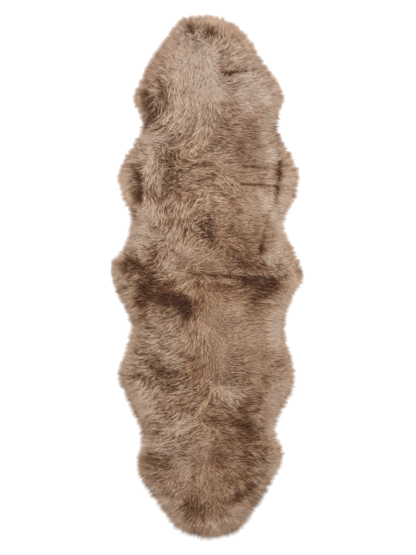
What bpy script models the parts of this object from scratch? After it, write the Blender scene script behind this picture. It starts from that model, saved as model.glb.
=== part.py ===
"""Double lambskin rug: two whole lamb pelts laid flat and sewn together rump to rump.

Metres, +Z up. The rug lies along Y with its wool side up, the upper pelt's neck towards +Y, and the
origin on the floor under the middle of the rug. Each pelt is a thin hide and the fleece that stands
on it: a lumpy slab of wool with a rim of pointed locks that lie out over the floor.
"""

import math
from collections import namedtuple

import bmesh
import bpy
from mathutils import Vector, noise
from mathutils.geometry import delaunay_2d_cdt

# Hide
HIDE_THICKNESS = 0.0025
HIDE_EDGE_ROUND = 0.0004
SEAM_GAP = 0.0003

# Wool, measured outwards from the hide's cut edge to the tips of the rim locks
HIDE_TO_SLAB_UNDERSIDE = 0.002
SLAB_OVERHANG = 0.016
LOCK_LENGTH = 0.021
WOOL_CLEARANCE = 0.0003
FLEECE_SEAM_GAP = 0.0006

# Height of the wool over the floor, at the slab's wall and in the middle of the rug
WALL_HEIGHT = 0.020
PILE_HEIGHT = 0.043
SHOULDER_WIDTH = 0.060
RIM_RELIEF_SHARE = 0.35
LUMP_HEIGHT = 0.0035
LUMP_SPACING = 0.060

# Mesh of one pelt
LOCKS_PER_PELT = 144
PILE_GRID = 0.0185
GRID_MARGIN = 0.010
CURVE_STEPS = 40
NORMAL_SPREAD = 5
SHARP_ANGLE = math.radians(50)

# A rim lock from its root to its tip: share of its length, width against its root and height
LockStep = namedtuple("LockStep", "along width height")
LOCK_STEPS = [
    LockStep(along=0.42, width=0.76, height=0.0130),
    LockStep(along=0.78, width=0.46, height=0.0055),
]
LOCK_SWAY = 0.0035
LOCK_SWAY_SPACING = 0.050
LOCK_LENGTH_CHANGE = 0.18
LOCK_LENGTH_SPACING = 0.030

# Reach of the wool tips each side of the middle line, by distance from the seam
Section = namedtuple("Section", "place along left right")
UPPER_SECTIONS = [
    Section("hind leg", 0.040, 0.338, 0.318),
    Section("behind the leg", 0.073, 0.305, 0.305),
    Section("rump", 0.113, 0.286, 0.287),
    Section("loin", 0.168, 0.268, 0.263),
    Section("loin", 0.222, 0.267, 0.272),
    Section("flank", 0.277, 0.294, 0.302),
    Section("belly", 0.346, 0.308, 0.312),
    Section("belly", 0.414, 0.285, 0.288),
    Section("elbow", 0.466, 0.250, 0.257),
    Section("elbow", 0.517, 0.224, 0.240),
    Section("foreleg", 0.565, 0.238, 0.246),
    Section("foreleg", 0.612, 0.256, 0.260),
    Section("shoulder", 0.660, 0.239, 0.245),
    Section("neck", 0.715, 0.213, 0.205),
    Section("neck", 0.770, 0.179, 0.167),
    Section("neck", 0.825, 0.139, 0.134),
    Section("crown", 0.868, 0.107, 0.090),
    Section("crown", 0.890, 0.073, 0.036),
]
LOWER_SECTIONS = [
    Section("hind leg", 0.030, 0.324, 0.316),
    Section("behind the leg", 0.055, 0.314, 0.298),
    Section("rump", 0.106, 0.286, 0.276),
    Section("loin", 0.174, 0.263, 0.262),
    Section("loin", 0.222, 0.274, 0.269),
    Section("flank", 0.275, 0.289, 0.286),
    Section("belly", 0.338, 0.308, 0.298),
    Section("belly", 0.394, 0.288, 0.286),
    Section("elbow", 0.448, 0.264, 0.257),
    Section("elbow", 0.500, 0.240, 0.235),
    Section("foreleg", 0.546, 0.226, 0.233),
    Section("foreleg", 0.610, 0.238, 0.256),
    Section("shoulder", 0.660, 0.240, 0.244),
    Section("shoulder", 0.708, 0.223, 0.218),
    Section("neck", 0.763, 0.183, 0.184),
    Section("neck", 0.818, 0.142, 0.147),
    Section("crown", 0.862, 0.108, 0.114),
    Section("crown", 0.886, 0.058, 0.072),
]
SEAM_SECTION = Section("seam", 0.0, 0.329, 0.335)
UPPER_CROWN = Vector((-0.018, 0.899))
LOWER_CROWN = Vector((0.006, -0.899))

# Partings and tufts of the wool: a line from start to end, its half width and its height over the pile
Relief = namedtuple("Relief", "place start end width height")
RELIEFS = [
    Relief("brow parting", (0.030, 0.692), (0.190, 0.709), 0.014, -0.011),
    Relief("right foreleg lobe", (0.140, 0.655), (0.215, 0.640), 0.048, 0.006),
    Relief("neck panel", (-0.060, 0.740), (-0.050, 0.640), 0.080, 0.004),
    Relief("left elbow parting", (-0.222, 0.512), (-0.170, 0.552), 0.020, -0.013),
    Relief("left foreleg hollow", (-0.205, 0.600), (-0.160, 0.660), 0.032, -0.006),
    Relief("left belly parting", (-0.238, 0.390), (-0.240, 0.240), 0.024, -0.011),
    Relief("left belly ridge", (-0.190, 0.420), (-0.195, 0.250), 0.030, 0.006),
    Relief("left inner parting", (-0.132, 0.410), (-0.138, 0.275), 0.024, -0.009),
    Relief("right back sweep", (0.060, 0.430), (0.200, 0.330), 0.070, 0.004),
    Relief("right belly parting", (0.252, 0.412), (0.232, 0.240), 0.014, -0.011),
    Relief("right loin parting", (0.225, 0.222), (0.178, 0.075), 0.018, -0.007),
    Relief("right rump flap", (0.240, 0.110), (0.262, 0.040), 0.036, 0.005),
    Relief("back hollow", (-0.002, 0.190), (-0.010, 0.140), 0.040, -0.006),
    Relief("left leg hollow", (-0.280, 0.064), (-0.225, 0.036), 0.026, -0.008),
    Relief("seam parting", (-0.020, 0.010), (0.275, -0.004), 0.013, -0.009),
    Relief("right seam hollow", (0.130, -0.030), (0.250, -0.036), 0.026, -0.009),
    Relief("seam ridge", (-0.170, -0.002), (-0.050, -0.052), 0.018, 0.007),
    Relief("left seam hollow", (-0.240, -0.032), (-0.078, -0.108), 0.028, -0.011),
    Relief("left loin swell", (-0.150, -0.215), (-0.090, -0.290), 0.050, 0.005),
    Relief("left flank hollow", (-0.176, -0.300), (-0.130, -0.340), 0.026, -0.008),
    Relief("left flank tuft", (-0.218, -0.360), (-0.225, -0.430), 0.032, 0.006),
    Relief("right back tuft", (0.066, -0.408), (0.070, -0.400), 0.034, 0.008),
    Relief("middle tuft", (-0.085, -0.512), (-0.055, -0.500), 0.032, 0.006),
    Relief("back parting", (0.010, -0.485), (0.140, -0.525), 0.024, -0.007),
    Relief("left foreleg dip", (-0.212, -0.622), (-0.160, -0.640), 0.030, -0.006),
    Relief("right neck parting", (0.055, -0.780), (0.150, -0.725), 0.020, -0.008),
    Relief("neck hollow", (-0.048, -0.760), (-0.046, -0.810), 0.026, -0.006),
    Relief("neck tuft", (0.060, -0.825), (0.100, -0.815), 0.030, 0.004),
]

Finish = namedtuple("Finish", "name colour roughness")
WOOL = Finish("taupe wool", (0.33, 0.22, 0.15, 1.0), 0.92)
SUEDE = Finish("tan suede", (0.52, 0.40, 0.29, 1.0), 0.85)

UPPER, LOWER = 1, -1


def clear_scene():
    """Remove whatever the open file holds."""
    for thing in list(bpy.data.objects):
        bpy.data.objects.remove(thing, do_unlink=True)


def material(finish):
    """One Principled material for a finish, made once."""
    found = bpy.data.materials.get(finish.name)
    if found:
        return found
    made = bpy.data.materials.new(finish.name)
    made.use_nodes = True
    shader = made.node_tree.nodes["Principled BSDF"]
    shader.inputs["Base Color"].default_value = finish.colour
    shader.inputs["Roughness"].default_value = finish.roughness
    shader.inputs["Metallic"].default_value = 0.0
    made.diffuse_color = finish.colour
    return made


def smooth_curve(points):
    """Closely spaced points on a Catmull-Rom curve through the given points."""
    padded = [2 * points[0] - points[1], *points, 2 * points[-1] - points[-2]]
    curve = []
    for before, start, end, after in zip(padded, padded[1:], padded[2:], padded[3:]):
        for step in range(CURVE_STEPS):
            t = step / CURVE_STEPS
            bend = 2 * before - 5 * start + 4 * end - after
            twist = 3 * start - before - 3 * end + after
            curve.append(0.5 * (2 * start + (end - before) * t + bend * t**2 + twist * t**3))
    return [*curve, points[-1]]


def spaced(curve, count):
    """The curve again as count equal steps."""
    lengths = [0.0]
    for a, b in zip(curve, curve[1:]):
        lengths.append(lengths[-1] + (b - a).length)
    found, at = [], 0
    for n in range(count + 1):
        target = lengths[-1] * n / count
        while at < len(curve) - 2 and lengths[at + 1] < target:
            at += 1
        share = (target - lengths[at]) / (lengths[at + 1] - lengths[at])
        found.append(curve[at].lerp(curve[at + 1], share))
    return found


def wool_reach(side):
    """The tips of one pelt's wool, from the seam's +X end round the neck to its -X end."""
    sections = UPPER_SECTIONS if side == UPPER else LOWER_SECTIONS
    crown = UPPER_CROWN if side == UPPER else LOWER_CROWN
    rows = [SEAM_SECTION, *sections]
    right = [Vector((row.right, side * row.along)) for row in rows]
    left = [Vector((-row.left, side * row.along)) for row in reversed(rows)]
    return spaced(smooth_curve([*right, crown, *left]), LOCKS_PER_PELT)


def inset(upper, lower, distance):
    """Both pelts' outlines moved inwards together, with the seam's ends kept on the seam."""
    ring = [*upper, *reversed(lower[1:-1])]
    count = len(ring)
    edges = [ring[(i + 1) % count] - ring[i] for i in range(count)]
    outwards = [Vector((edge.y, -edge.x)).normalized() for edge in edges]
    moved = []
    for i, point in enumerate(ring):
        near = [outwards[(i + k) % count] for k in range(-NORMAL_SPREAD, NORMAL_SPREAD)]
        moved.append(point - sum(near, Vector((0, 0))).normalized() * distance)
    new_upper = moved[: len(upper)]
    for end in (0, -1):
        new_upper[end] = Vector((new_upper[end].x, 0.0))
    new_lower = [new_upper[0], *reversed(moved[len(upper) :]), new_upper[-1]]
    return new_upper, new_lower


def parted(outline, side, gap):
    """One pelt's outline held back from the seam by half a gap."""
    return [Vector((p.x, side * max(side * p.y, gap / 2))) for p in outline]


def line_distance(point, start, end):
    """Distance from a point to the line between two others."""
    along = end - start
    share = max(0.0, min(1.0, (point - start).dot(along) / max(along.length_squared, 1e-12)))
    return (point - start - share * along).length


def edge_distance(point, outline):
    """Distance from a point to an outline, leaving out the seam."""
    return min(line_distance(point, a, b) for a, b in zip(outline, outline[1:]))


def pile_top(point, outline):
    """Height of the wool over the floor at a point of one pelt."""
    share = min(1.0, edge_distance(point, outline) / SHOULDER_WIDTH)
    swell = math.sin(share * math.pi / 2)
    height = WALL_HEIGHT + (PILE_HEIGHT - WALL_HEIGHT) * swell
    height += LUMP_HEIGHT * swell * noise.noise(point.to_3d() / LUMP_SPACING)
    kept = RIM_RELIEF_SHARE + (1 - RIM_RELIEF_SHARE) * swell
    for relief in RELIEFS:
        away = line_distance(point, Vector(relief.start), Vector(relief.end)) / relief.width
        height += relief.height * math.exp(-(away**2)) * kept
    return height


def inside(point, polygon):
    """Whether a point lies inside a closed polygon."""
    crossings = 0
    for a, b in zip(polygon, [*polygon[1:], polygon[0]]):
        if (a.y > point.y) != (b.y > point.y):
            crossings += point.x < a.x + (point.y - a.y) * (b.x - a.x) / (b.y - a.y)
    return crossings % 2 == 1


def grid_points(polygon):
    """Points of a triangular grid inside a polygon, clear of its edge."""
    low_x, high_x = min(p.x for p in polygon), max(p.x for p in polygon)
    low_y, high_y = min(p.y for p in polygon), max(p.y for p in polygon)
    row_step = PILE_GRID * math.sqrt(0.75)
    closed = [*polygon, polygon[0]]
    found = []
    for row in range(math.ceil((high_y - low_y) / row_step)):
        y = low_y + row * row_step
        shift = PILE_GRID / 2 * (row % 2)
        for column in range(math.ceil((high_x - low_x) / PILE_GRID)):
            point = Vector((low_x + shift + column * PILE_GRID, y))
            if inside(point, polygon) and edge_distance(point, closed) > GRID_MARGIN:
                found.append(point)
    return found


def seam_points(start, end):
    """Points along the seam between two ends, without the ends."""
    count = round((end - start).length / PILE_GRID)
    return [start.lerp(end, n / count) for n in range(1, count)]


def lock_frames(a, b, side):
    """Both lower corners of a rim lock at each step outwards, and its tip."""
    middle, across = (a + b) / 2, b - a
    outwards = side * Vector((across.y, -across.x)).normalized()
    change = noise.noise(middle.to_3d() / LOCK_LENGTH_SPACING)
    sway = noise.noise(middle.to_3d() / LOCK_SWAY_SPACING) * LOCK_SWAY
    length = LOCK_LENGTH * (1 + LOCK_LENGTH_CHANGE * change)
    steps = []
    for step in LOCK_STEPS:
        centre = middle + outwards * length * step.along + across.normalized() * sway * step.along
        steps.append((centre - across * step.width / 2, centre + across * step.width / 2))
    return steps, middle + outwards * length + across.normalized() * sway


def add_lock(bm, low, high, side):
    """One rim lock, grown out of the wall between two neighbouring columns."""
    steps, tip = lock_frames(low[0].co.xy, low[1].co.xy, side)
    ring = [low[0], low[1], high[1], high[0]]
    for (start, end), step in zip(steps, LOCK_STEPS):
        bottom = [bm.verts.new((*start, 0.0)), bm.verts.new((*end, 0.0))]
        top = [bm.verts.new((*end, step.height)), bm.verts.new((*start, step.height))]
        outer = [*bottom, *top]
        for n in range(4):
            bm.faces.new((ring[n], ring[(n + 1) % 4], outer[(n + 1) % 4], outer[n]))
        ring = outer
    end = bm.verts.new((*tip, 0.0))
    for n in range(4):
        bm.faces.new((ring[n], ring[(n + 1) % 4], end))


def finished(name, bm, finish):
    """A named object from a closed mesh, smooth but for its sharp edges."""
    bmesh.ops.recalc_face_normals(bm, faces=bm.faces[:])
    mesh = bpy.data.meshes.new(name)
    bm.to_mesh(mesh)
    bm.free()
    mesh.materials.append(material(finish))
    mesh.shade_smooth()
    mesh.set_sharp_from_angle(angle=SHARP_ANGLE)
    thing = bpy.data.objects.new(name, mesh)
    bpy.context.scene.collection.objects.link(thing)
    return thing


def build_hide(name, outline):
    """One pelt's hide: a thin flat sheet with a slightly rounded cut edge."""
    bm = bmesh.new()
    sheet = bm.faces.new([bm.verts.new((p.x, p.y, 0.0)) for p in outline])
    raised = bmesh.ops.extrude_face_region(bm, geom=[sheet])["geom"]
    top = [v for v in raised if isinstance(v, bmesh.types.BMVert)]
    bmesh.ops.translate(bm, verts=top, vec=(0, 0, HIDE_THICKNESS))
    thing = finished(name, bm, SUEDE)
    rounding = thing.modifiers.new("cut edge", "BEVEL")
    rounding.width = HIDE_EDGE_ROUND
    rounding.segments = 1
    rounding.limit_method = "ANGLE"
    return thing


def build_fleece(name, wall, foot, side):
    """One pelt's fleece: the lumpy top, the rim locks, the seam wall and the underside."""
    bm = bmesh.new()
    seam = seam_points(wall[-1], wall[0])
    polygon = [*wall, *seam]
    flat = [*polygon, *grid_points(polygon)]
    border = [list(range(len(polygon)))]
    points, _, faces, origins, _, _ = delaunay_2d_cdt(flat, [], border, 1, 1e-7)
    top = [bm.verts.new((p.x, p.y, pile_top(p, wall))) for p in points]
    place = {given: made for made, sources in enumerate(origins) for given in sources}
    for face in faces:
        bm.faces.new([top[n] for n in face])
    high = [top[place[n]] for n in range(len(polygon))]

    low = [bm.verts.new((p.x, p.y, 0.0)) for p in wall]
    under = [bm.verts.new((p.x, p.y, HIDE_THICKNESS + WOOL_CLEARANCE)) for p in foot]
    for n in range(len(wall) - 1):
        add_lock(bm, (low[n], low[n + 1]), (high[n], high[n + 1]), side)
        bm.faces.new((low[n], low[n + 1], under[n + 1], under[n]))
    bm.faces.new(under)
    seam_top = high[len(wall) :]
    bm.faces.new([high[len(wall) - 1], *seam_top, high[0], low[0], under[0], under[-1], low[-1]])
    return finished(name, bm, WOOL)


def build_rug():
    """All the pieces of the rug, centred over the origin."""
    tips = wool_reach(UPPER), wool_reach(LOWER)
    walls = inset(*tips, LOCK_LENGTH)
    feet = inset(*walls, SLAB_OVERHANG - HIDE_TO_SLAB_UNDERSIDE)
    cuts = inset(*feet, HIDE_TO_SLAB_UNDERSIDE)
    made = []
    for n, (word, side) in enumerate((("upper", UPPER), ("lower", LOWER))):
        cut = parted(cuts[n], side, SEAM_GAP)
        wall = parted(walls[n], side, FLEECE_SEAM_GAP)
        foot = parted(feet[n], side, FLEECE_SEAM_GAP)
        made.append(build_hide(word + "_hide", cut))
        made.append(build_fleece(word + "_fleece", wall, foot, side))
    corners = [v.co for thing in made for v in thing.data.vertices]
    middle_x = (min(c.x for c in corners) + max(c.x for c in corners)) / 2
    middle_y = (min(c.y for c in corners) + max(c.y for c in corners)) / 2
    for thing in made:
        for v in thing.data.vertices:
            v.co -= Vector((middle_x, middle_y, 0.0))


clear_scene()
build_rug()
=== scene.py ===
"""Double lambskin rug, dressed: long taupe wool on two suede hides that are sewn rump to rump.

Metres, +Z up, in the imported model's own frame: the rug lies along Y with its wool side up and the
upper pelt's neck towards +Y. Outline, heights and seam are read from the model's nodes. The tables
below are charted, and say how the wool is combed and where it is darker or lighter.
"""

import logging
import math
from dataclasses import dataclass, field
from enum import Enum, IntEnum

import bmesh
import bpy
import numpy as np
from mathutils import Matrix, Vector
from mathutils.bvhtree import BVHTree


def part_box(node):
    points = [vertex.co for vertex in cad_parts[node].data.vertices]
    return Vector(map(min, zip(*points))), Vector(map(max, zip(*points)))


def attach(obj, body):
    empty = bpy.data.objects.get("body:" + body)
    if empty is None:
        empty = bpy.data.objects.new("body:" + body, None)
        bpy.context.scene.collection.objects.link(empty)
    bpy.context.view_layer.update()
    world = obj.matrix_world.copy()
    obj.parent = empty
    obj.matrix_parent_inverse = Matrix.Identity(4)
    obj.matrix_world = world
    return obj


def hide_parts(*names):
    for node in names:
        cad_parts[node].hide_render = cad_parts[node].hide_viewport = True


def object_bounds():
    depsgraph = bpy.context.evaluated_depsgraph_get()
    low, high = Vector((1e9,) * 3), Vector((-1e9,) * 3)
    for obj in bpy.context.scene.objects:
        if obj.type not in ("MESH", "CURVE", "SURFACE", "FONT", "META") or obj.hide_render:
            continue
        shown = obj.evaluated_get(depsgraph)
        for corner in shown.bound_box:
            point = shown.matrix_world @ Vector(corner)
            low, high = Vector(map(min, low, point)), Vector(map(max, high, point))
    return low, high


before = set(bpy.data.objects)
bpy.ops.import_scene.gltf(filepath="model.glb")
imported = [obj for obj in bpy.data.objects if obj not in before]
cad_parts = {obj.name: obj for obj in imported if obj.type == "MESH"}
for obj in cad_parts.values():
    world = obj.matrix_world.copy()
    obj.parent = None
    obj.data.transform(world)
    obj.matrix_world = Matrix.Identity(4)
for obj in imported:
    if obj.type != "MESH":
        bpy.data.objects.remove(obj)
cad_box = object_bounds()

log = logging.getLogger("rug")

Array = np.ndarray
Piece = bpy.types.Object
Material = bpy.types.Material
Socket = bpy.types.NodeSocket
Colour = tuple[float, float, float]
Point = tuple[float, float]

ROOT_BODY = "root"

WHITE: Colour = (1.0, 1.0, 1.0)

# How far a draw may lie from its middle, in its own spread
HELD: Point = (-2.0, 2.0)

# The share of a triangle's side that one row of a triangular grid lies from the next
ROW_SHARE = math.sqrt(0.75)

# The rim of a fleece from the hide's edge outwards: share of its reach and height over the floor
RIM_SHARES = (0.43, 0.67, 0.88, 1.0, 1.25)
RIM_HEIGHTS = (0.0200, 0.0135, 0.0070, 0.0030, 0.0012)


class Side(Enum):
    """The side of the seam that a pelt lies on."""

    UPPER = 1
    LOWER = -1

    @property
    def label(self) -> str:
        """Name the pelt as its nodes and pieces do."""
        return self.name.lower()


class Seed(IntEnum):
    """The seed of each noise and of the fibres' draws, so that every run grows the same wool."""

    WIDE_TURN = 11
    NEAR_TURN = 12
    CURL = 21
    LENGTH = 22
    OWN_SHADE = 23
    WIDE_WANDER = 24
    NEAR_WANDER = 25
    STREAKS = 26
    LUMPS = 31
    RIPPLE = 33
    FIBRES = 40


class Band(Enum):
    """A pelt's wool by its share of the way from seam to neck: where the band ends."""

    RUMP = 0.34
    BELLY = 0.67
    NECK = 1.0


@dataclass(frozen=True)
class Mark:
    """A line on the chart, which works within about its width."""

    place: str
    start: Point
    end: Point
    width: float

    def near(self, points: Array) -> Array:
        """Weigh rows of x and y from 1 on the line to 0 well past its width."""
        return np.exp(-((line_distances(points, self.start, self.end) / self.width) ** 2))


@dataclass(frozen=True)
class Stroke(Mark):
    """A stroke of the comb: the wool lies from its start towards its end."""


@dataclass(frozen=True)
class Whorl:
    """A spot that the wool turns about.

    Pull is how strongly it turns, turn is in degrees from straight outwards, flat the share of its
    length that a lock lies over, and tangle the spread of its headings in radians.
    """

    place: str
    centre: Point
    radius: float
    pull: float
    turn: float
    flat: float
    tangle: float


@dataclass(frozen=True)
class Nap(Mark):
    """A place where the wool stands up, or is finer and more even.

    Stand is the share of its lay that a lock loses there. Calm is the share of its unevenness that
    it loses, negative where it is more uneven.
    """

    stand: float
    calm: float


@dataclass(frozen=True)
class Tone(Mark):
    """A darker or lighter place in the wool, and how far it turns to grey, below 0, or to brown."""

    shade: float
    warmth: float = 0.0


COMB = (
    Stroke("crown", (0.000, 0.840), (0.000, 0.900), 0.068),
    Stroke("crown left", (-0.075, 0.820), (-0.120, 0.865), 0.048),
    Stroke("crown right", (0.085, 0.805), (0.130, 0.860), 0.048),
    Stroke("neck left", (-0.140, 0.735), (-0.185, 0.785), 0.051),
    Stroke("neck panel", (-0.050, 0.775), (-0.050, 0.605), 0.082),
    Stroke("neck right", (0.110, 0.770), (0.165, 0.795), 0.041),
    Stroke("brow", (0.075, 0.722), (0.150, 0.760), 0.024),
    Stroke("under the brow", (0.060, 0.665), (0.145, 0.675), 0.027),
    Stroke("foreleg lobe", (0.105, 0.640), (0.220, 0.665), 0.051),
    Stroke("left shoulder", (-0.210, 0.635), (-0.170, 0.575), 0.031),
    Stroke("left shoulder rim", (-0.195, 0.675), (-0.240, 0.660), 0.027),
    Stroke("right shoulder", (0.025, 0.615), (-0.015, 0.535), 0.044),
    Stroke("right shoulder edge", (0.110, 0.580), (0.220, 0.585), 0.041),
    Stroke("back of the shoulder", (0.000, 0.495), (-0.095, 0.415), 0.038),
    Stroke("right elbow", (0.070, 0.550), (0.185, 0.530), 0.044),
    Stroke("right chest", (0.065, 0.485), (0.205, 0.470), 0.044),
    Stroke("left elbow", (-0.165, 0.535), (-0.195, 0.485), 0.034),
    Stroke("left column", (-0.195, 0.475), (-0.205, 0.275), 0.031),
    Stroke("left belly top", (-0.245, 0.400), (-0.305, 0.385), 0.031),
    Stroke("left belly", (-0.255, 0.320), (-0.305, 0.290), 0.034),
    Stroke("back waves", (-0.110, 0.395), (0.025, 0.405), 0.031),
    Stroke("back waves low", (-0.110, 0.325), (0.020, 0.320), 0.031),
    Stroke("back turn", (0.020, 0.400), (0.075, 0.320), 0.031),
    Stroke("right belly top", (0.090, 0.400), (0.235, 0.395), 0.041),
    Stroke("right belly", (0.085, 0.325), (0.235, 0.315), 0.041),
    Stroke("right belly low", (0.090, 0.255), (0.220, 0.245), 0.044),
    Stroke("right belly rim top", (0.260, 0.385), (0.305, 0.360), 0.027),
    Stroke("right belly rim", (0.255, 0.270), (0.295, 0.230), 0.027),
    Stroke("left loin tufts", (-0.205, 0.255), (-0.165, 0.195), 0.027),
    Stroke("left loin", (-0.190, 0.145), (-0.260, 0.190), 0.034),
    Stroke("left back", (-0.155, 0.155), (-0.165, 0.050), 0.027),
    Stroke("middle back", (-0.085, 0.220), (-0.100, 0.105), 0.034),
    Stroke("right loin", (0.055, 0.180), (0.185, 0.160), 0.044),
    Stroke("rump sweep", (0.030, 0.085), (-0.100, 0.040), 0.031),
    Stroke("right rump", (0.100, 0.090), (0.205, 0.050), 0.031),
    Stroke("right flap", (0.235, 0.175), (0.295, 0.105), 0.027),
    Stroke("right hind leg", (0.250, 0.050), (0.325, 0.005), 0.027),
    Stroke("left hind leg", (-0.225, 0.050), (-0.320, 0.055), 0.031),
    Stroke("left hind leg low", (-0.270, 0.005), (-0.325, -0.025), 0.027),
    Stroke("over the seam", (-0.010, 0.030), (0.150, 0.020), 0.021),
    Stroke("under the seam", (0.020, -0.030), (0.185, -0.020), 0.024),
    Stroke("seam ridge", (-0.065, -0.010), (-0.140, -0.050), 0.024),
    Stroke("left rump", (-0.190, -0.060), (-0.270, -0.040), 0.031),
    Stroke("left rump low", (-0.130, -0.105), (-0.240, -0.150), 0.031),
    Stroke("left loin waves", (-0.080, -0.150), (-0.185, -0.225), 0.034),
    Stroke("left loin waves low", (-0.085, -0.215), (-0.160, -0.285), 0.031),
    Stroke("middle streaks", (-0.040, -0.100), (-0.045, -0.250), 0.022),
    Stroke("middle down", (0.012, -0.070), (0.020, -0.230), 0.034),
    Stroke("right loin fan", (0.050, -0.200), (0.130, -0.175), 0.036),
    Stroke("right rump fan", (0.070, -0.090), (0.220, -0.080), 0.041),
    Stroke("right flank", (0.105, -0.255), (0.270, -0.235), 0.044),
    Stroke("left flank", (-0.190, -0.275), (-0.285, -0.305), 0.034),
    Stroke("middle flank", (-0.045, -0.305), (-0.135, -0.350), 0.034),
    Stroke("middle", (0.025, -0.220), (-0.010, -0.360), 0.050),
    Stroke("right back", (0.130, -0.330), (0.260, -0.365), 0.041),
    Stroke("left tufts", (-0.195, -0.365), (-0.240, -0.430), 0.031),
    Stroke("middle tufts", (-0.045, -0.405), (-0.110, -0.450), 0.031),
    Stroke("red wool", (0.020, -0.485), (0.145, -0.490), 0.038),
    Stroke("lower right belly", (0.130, -0.430), (0.250, -0.460), 0.034),
    Stroke("light patch", (-0.055, -0.505), (-0.135, -0.535), 0.031),
    Stroke("middle tuft", (0.015, -0.545), (-0.045, -0.590), 0.027),
    Stroke("lower left elbow", (-0.190, -0.560), (-0.240, -0.605), 0.031),
    Stroke("star right", (0.020, -0.600), (0.185, -0.600), 0.038),
    Stroke("star low right", (0.050, -0.655), (0.165, -0.735), 0.038),
    Stroke("star down", (0.020, -0.695), (0.070, -0.830), 0.034),
    Stroke("star down left", (-0.015, -0.695), (-0.035, -0.850), 0.034),
    Stroke("star left low", (-0.060, -0.675), (-0.140, -0.775), 0.034),
    Stroke("star left", (-0.080, -0.620), (-0.210, -0.635), 0.034),
)

WHORLS = (
    Whorl("crown", (-0.030, 0.845), 0.035, 0.8, 0.0, 0.85, 0.40),
    Whorl("grey swirl", (-0.170, 0.430), 0.026, 1.6, 80.0, 0.80, 0.20),
    Whorl("inner tangle", (-0.125, 0.350), 0.050, 0.0, 0.0, 0.70, 0.75),
    Whorl("left curl", (-0.240, 0.100), 0.020, 1.6, 90.0, 0.80, 0.20),
    Whorl("back speckle", (0.000, 0.170), 0.045, 0.0, 0.0, 0.40, 1.20),
    Whorl("left hind leg", (-0.285, 0.028), 0.022, 1.2, 60.0, 0.80, 0.30),
    Whorl("seam band end", (-0.070, -0.090), 0.030, 0.0, 0.0, 0.40, 1.00),
    Whorl("star tuft", (0.052, -0.375), 0.042, 1.6, 0.0, 0.85, 0.15),
    Whorl("lower star", (0.000, -0.610), 0.050, 1.2, 0.0, 0.85, 0.25),
)

NAPS = (
    Nap("neck panel", (-0.085, 0.735), (-0.010, 0.640), 0.070, 0.25, 1.00),
    Nap("foreleg lobe", (0.145, 0.645), (0.205, 0.620), 0.045, 0.10, 0.60),
    Nap("right side", (0.160, 0.540), (0.175, 0.170), 0.070, -0.25, 0.80),
    Nap("right flap", (0.240, 0.160), (0.265, 0.060), 0.035, 0.40, 0.60),
    Nap("rump", (-0.060, 0.060), (0.120, 0.040), 0.045, 0.45, 0.35),
    Nap("lower middle", (0.020, -0.110), (0.045, -0.320), 0.080, 0.60, 0.65),
    Nap("lower right flank", (0.170, -0.150), (0.215, -0.450), 0.070, -0.15, 0.75),
    Nap("lower star", (0.010, -0.600), (0.050, -0.750), 0.100, 0.25, 0.60),
    Nap("lower shoulder", (-0.110, -0.690), (-0.060, -0.730), 0.050, 0.35, 0.50),
    Nap("lower neck", (0.070, -0.815), (0.110, -0.800), 0.040, 0.20, 0.40),
    Nap("left shoulder", (-0.205, 0.640), (-0.190, 0.580), 0.030, 0.00, -0.80),
    Nap("crown", (-0.060, 0.845), (-0.035, 0.810), 0.035, 0.00, -0.70),
    Nap("back of the shoulder", (-0.150, 0.480), (-0.030, 0.300), 0.070, 0.00, -0.60),
    Nap("back speckle", (-0.020, 0.200), (0.010, 0.150), 0.050, 0.20, -0.50),
    Nap("left flank tufts", (-0.220, -0.300), (-0.210, -0.440), 0.045, 0.00, -0.50),
    Nap("star tuft", (0.035, -0.385), (0.090, -0.400), 0.035, 0.00, -1.00),
    Nap("middle tufts", (-0.110, -0.380), (-0.035, -0.400), 0.030, 0.20, -0.60),
    Nap("light patch", (-0.120, -0.530), (-0.040, -0.510), 0.035, 0.10, -0.50),
)

# The darker places are partly the wool's own colour and partly painted shade in partings, hollows and
# along the seam
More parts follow.
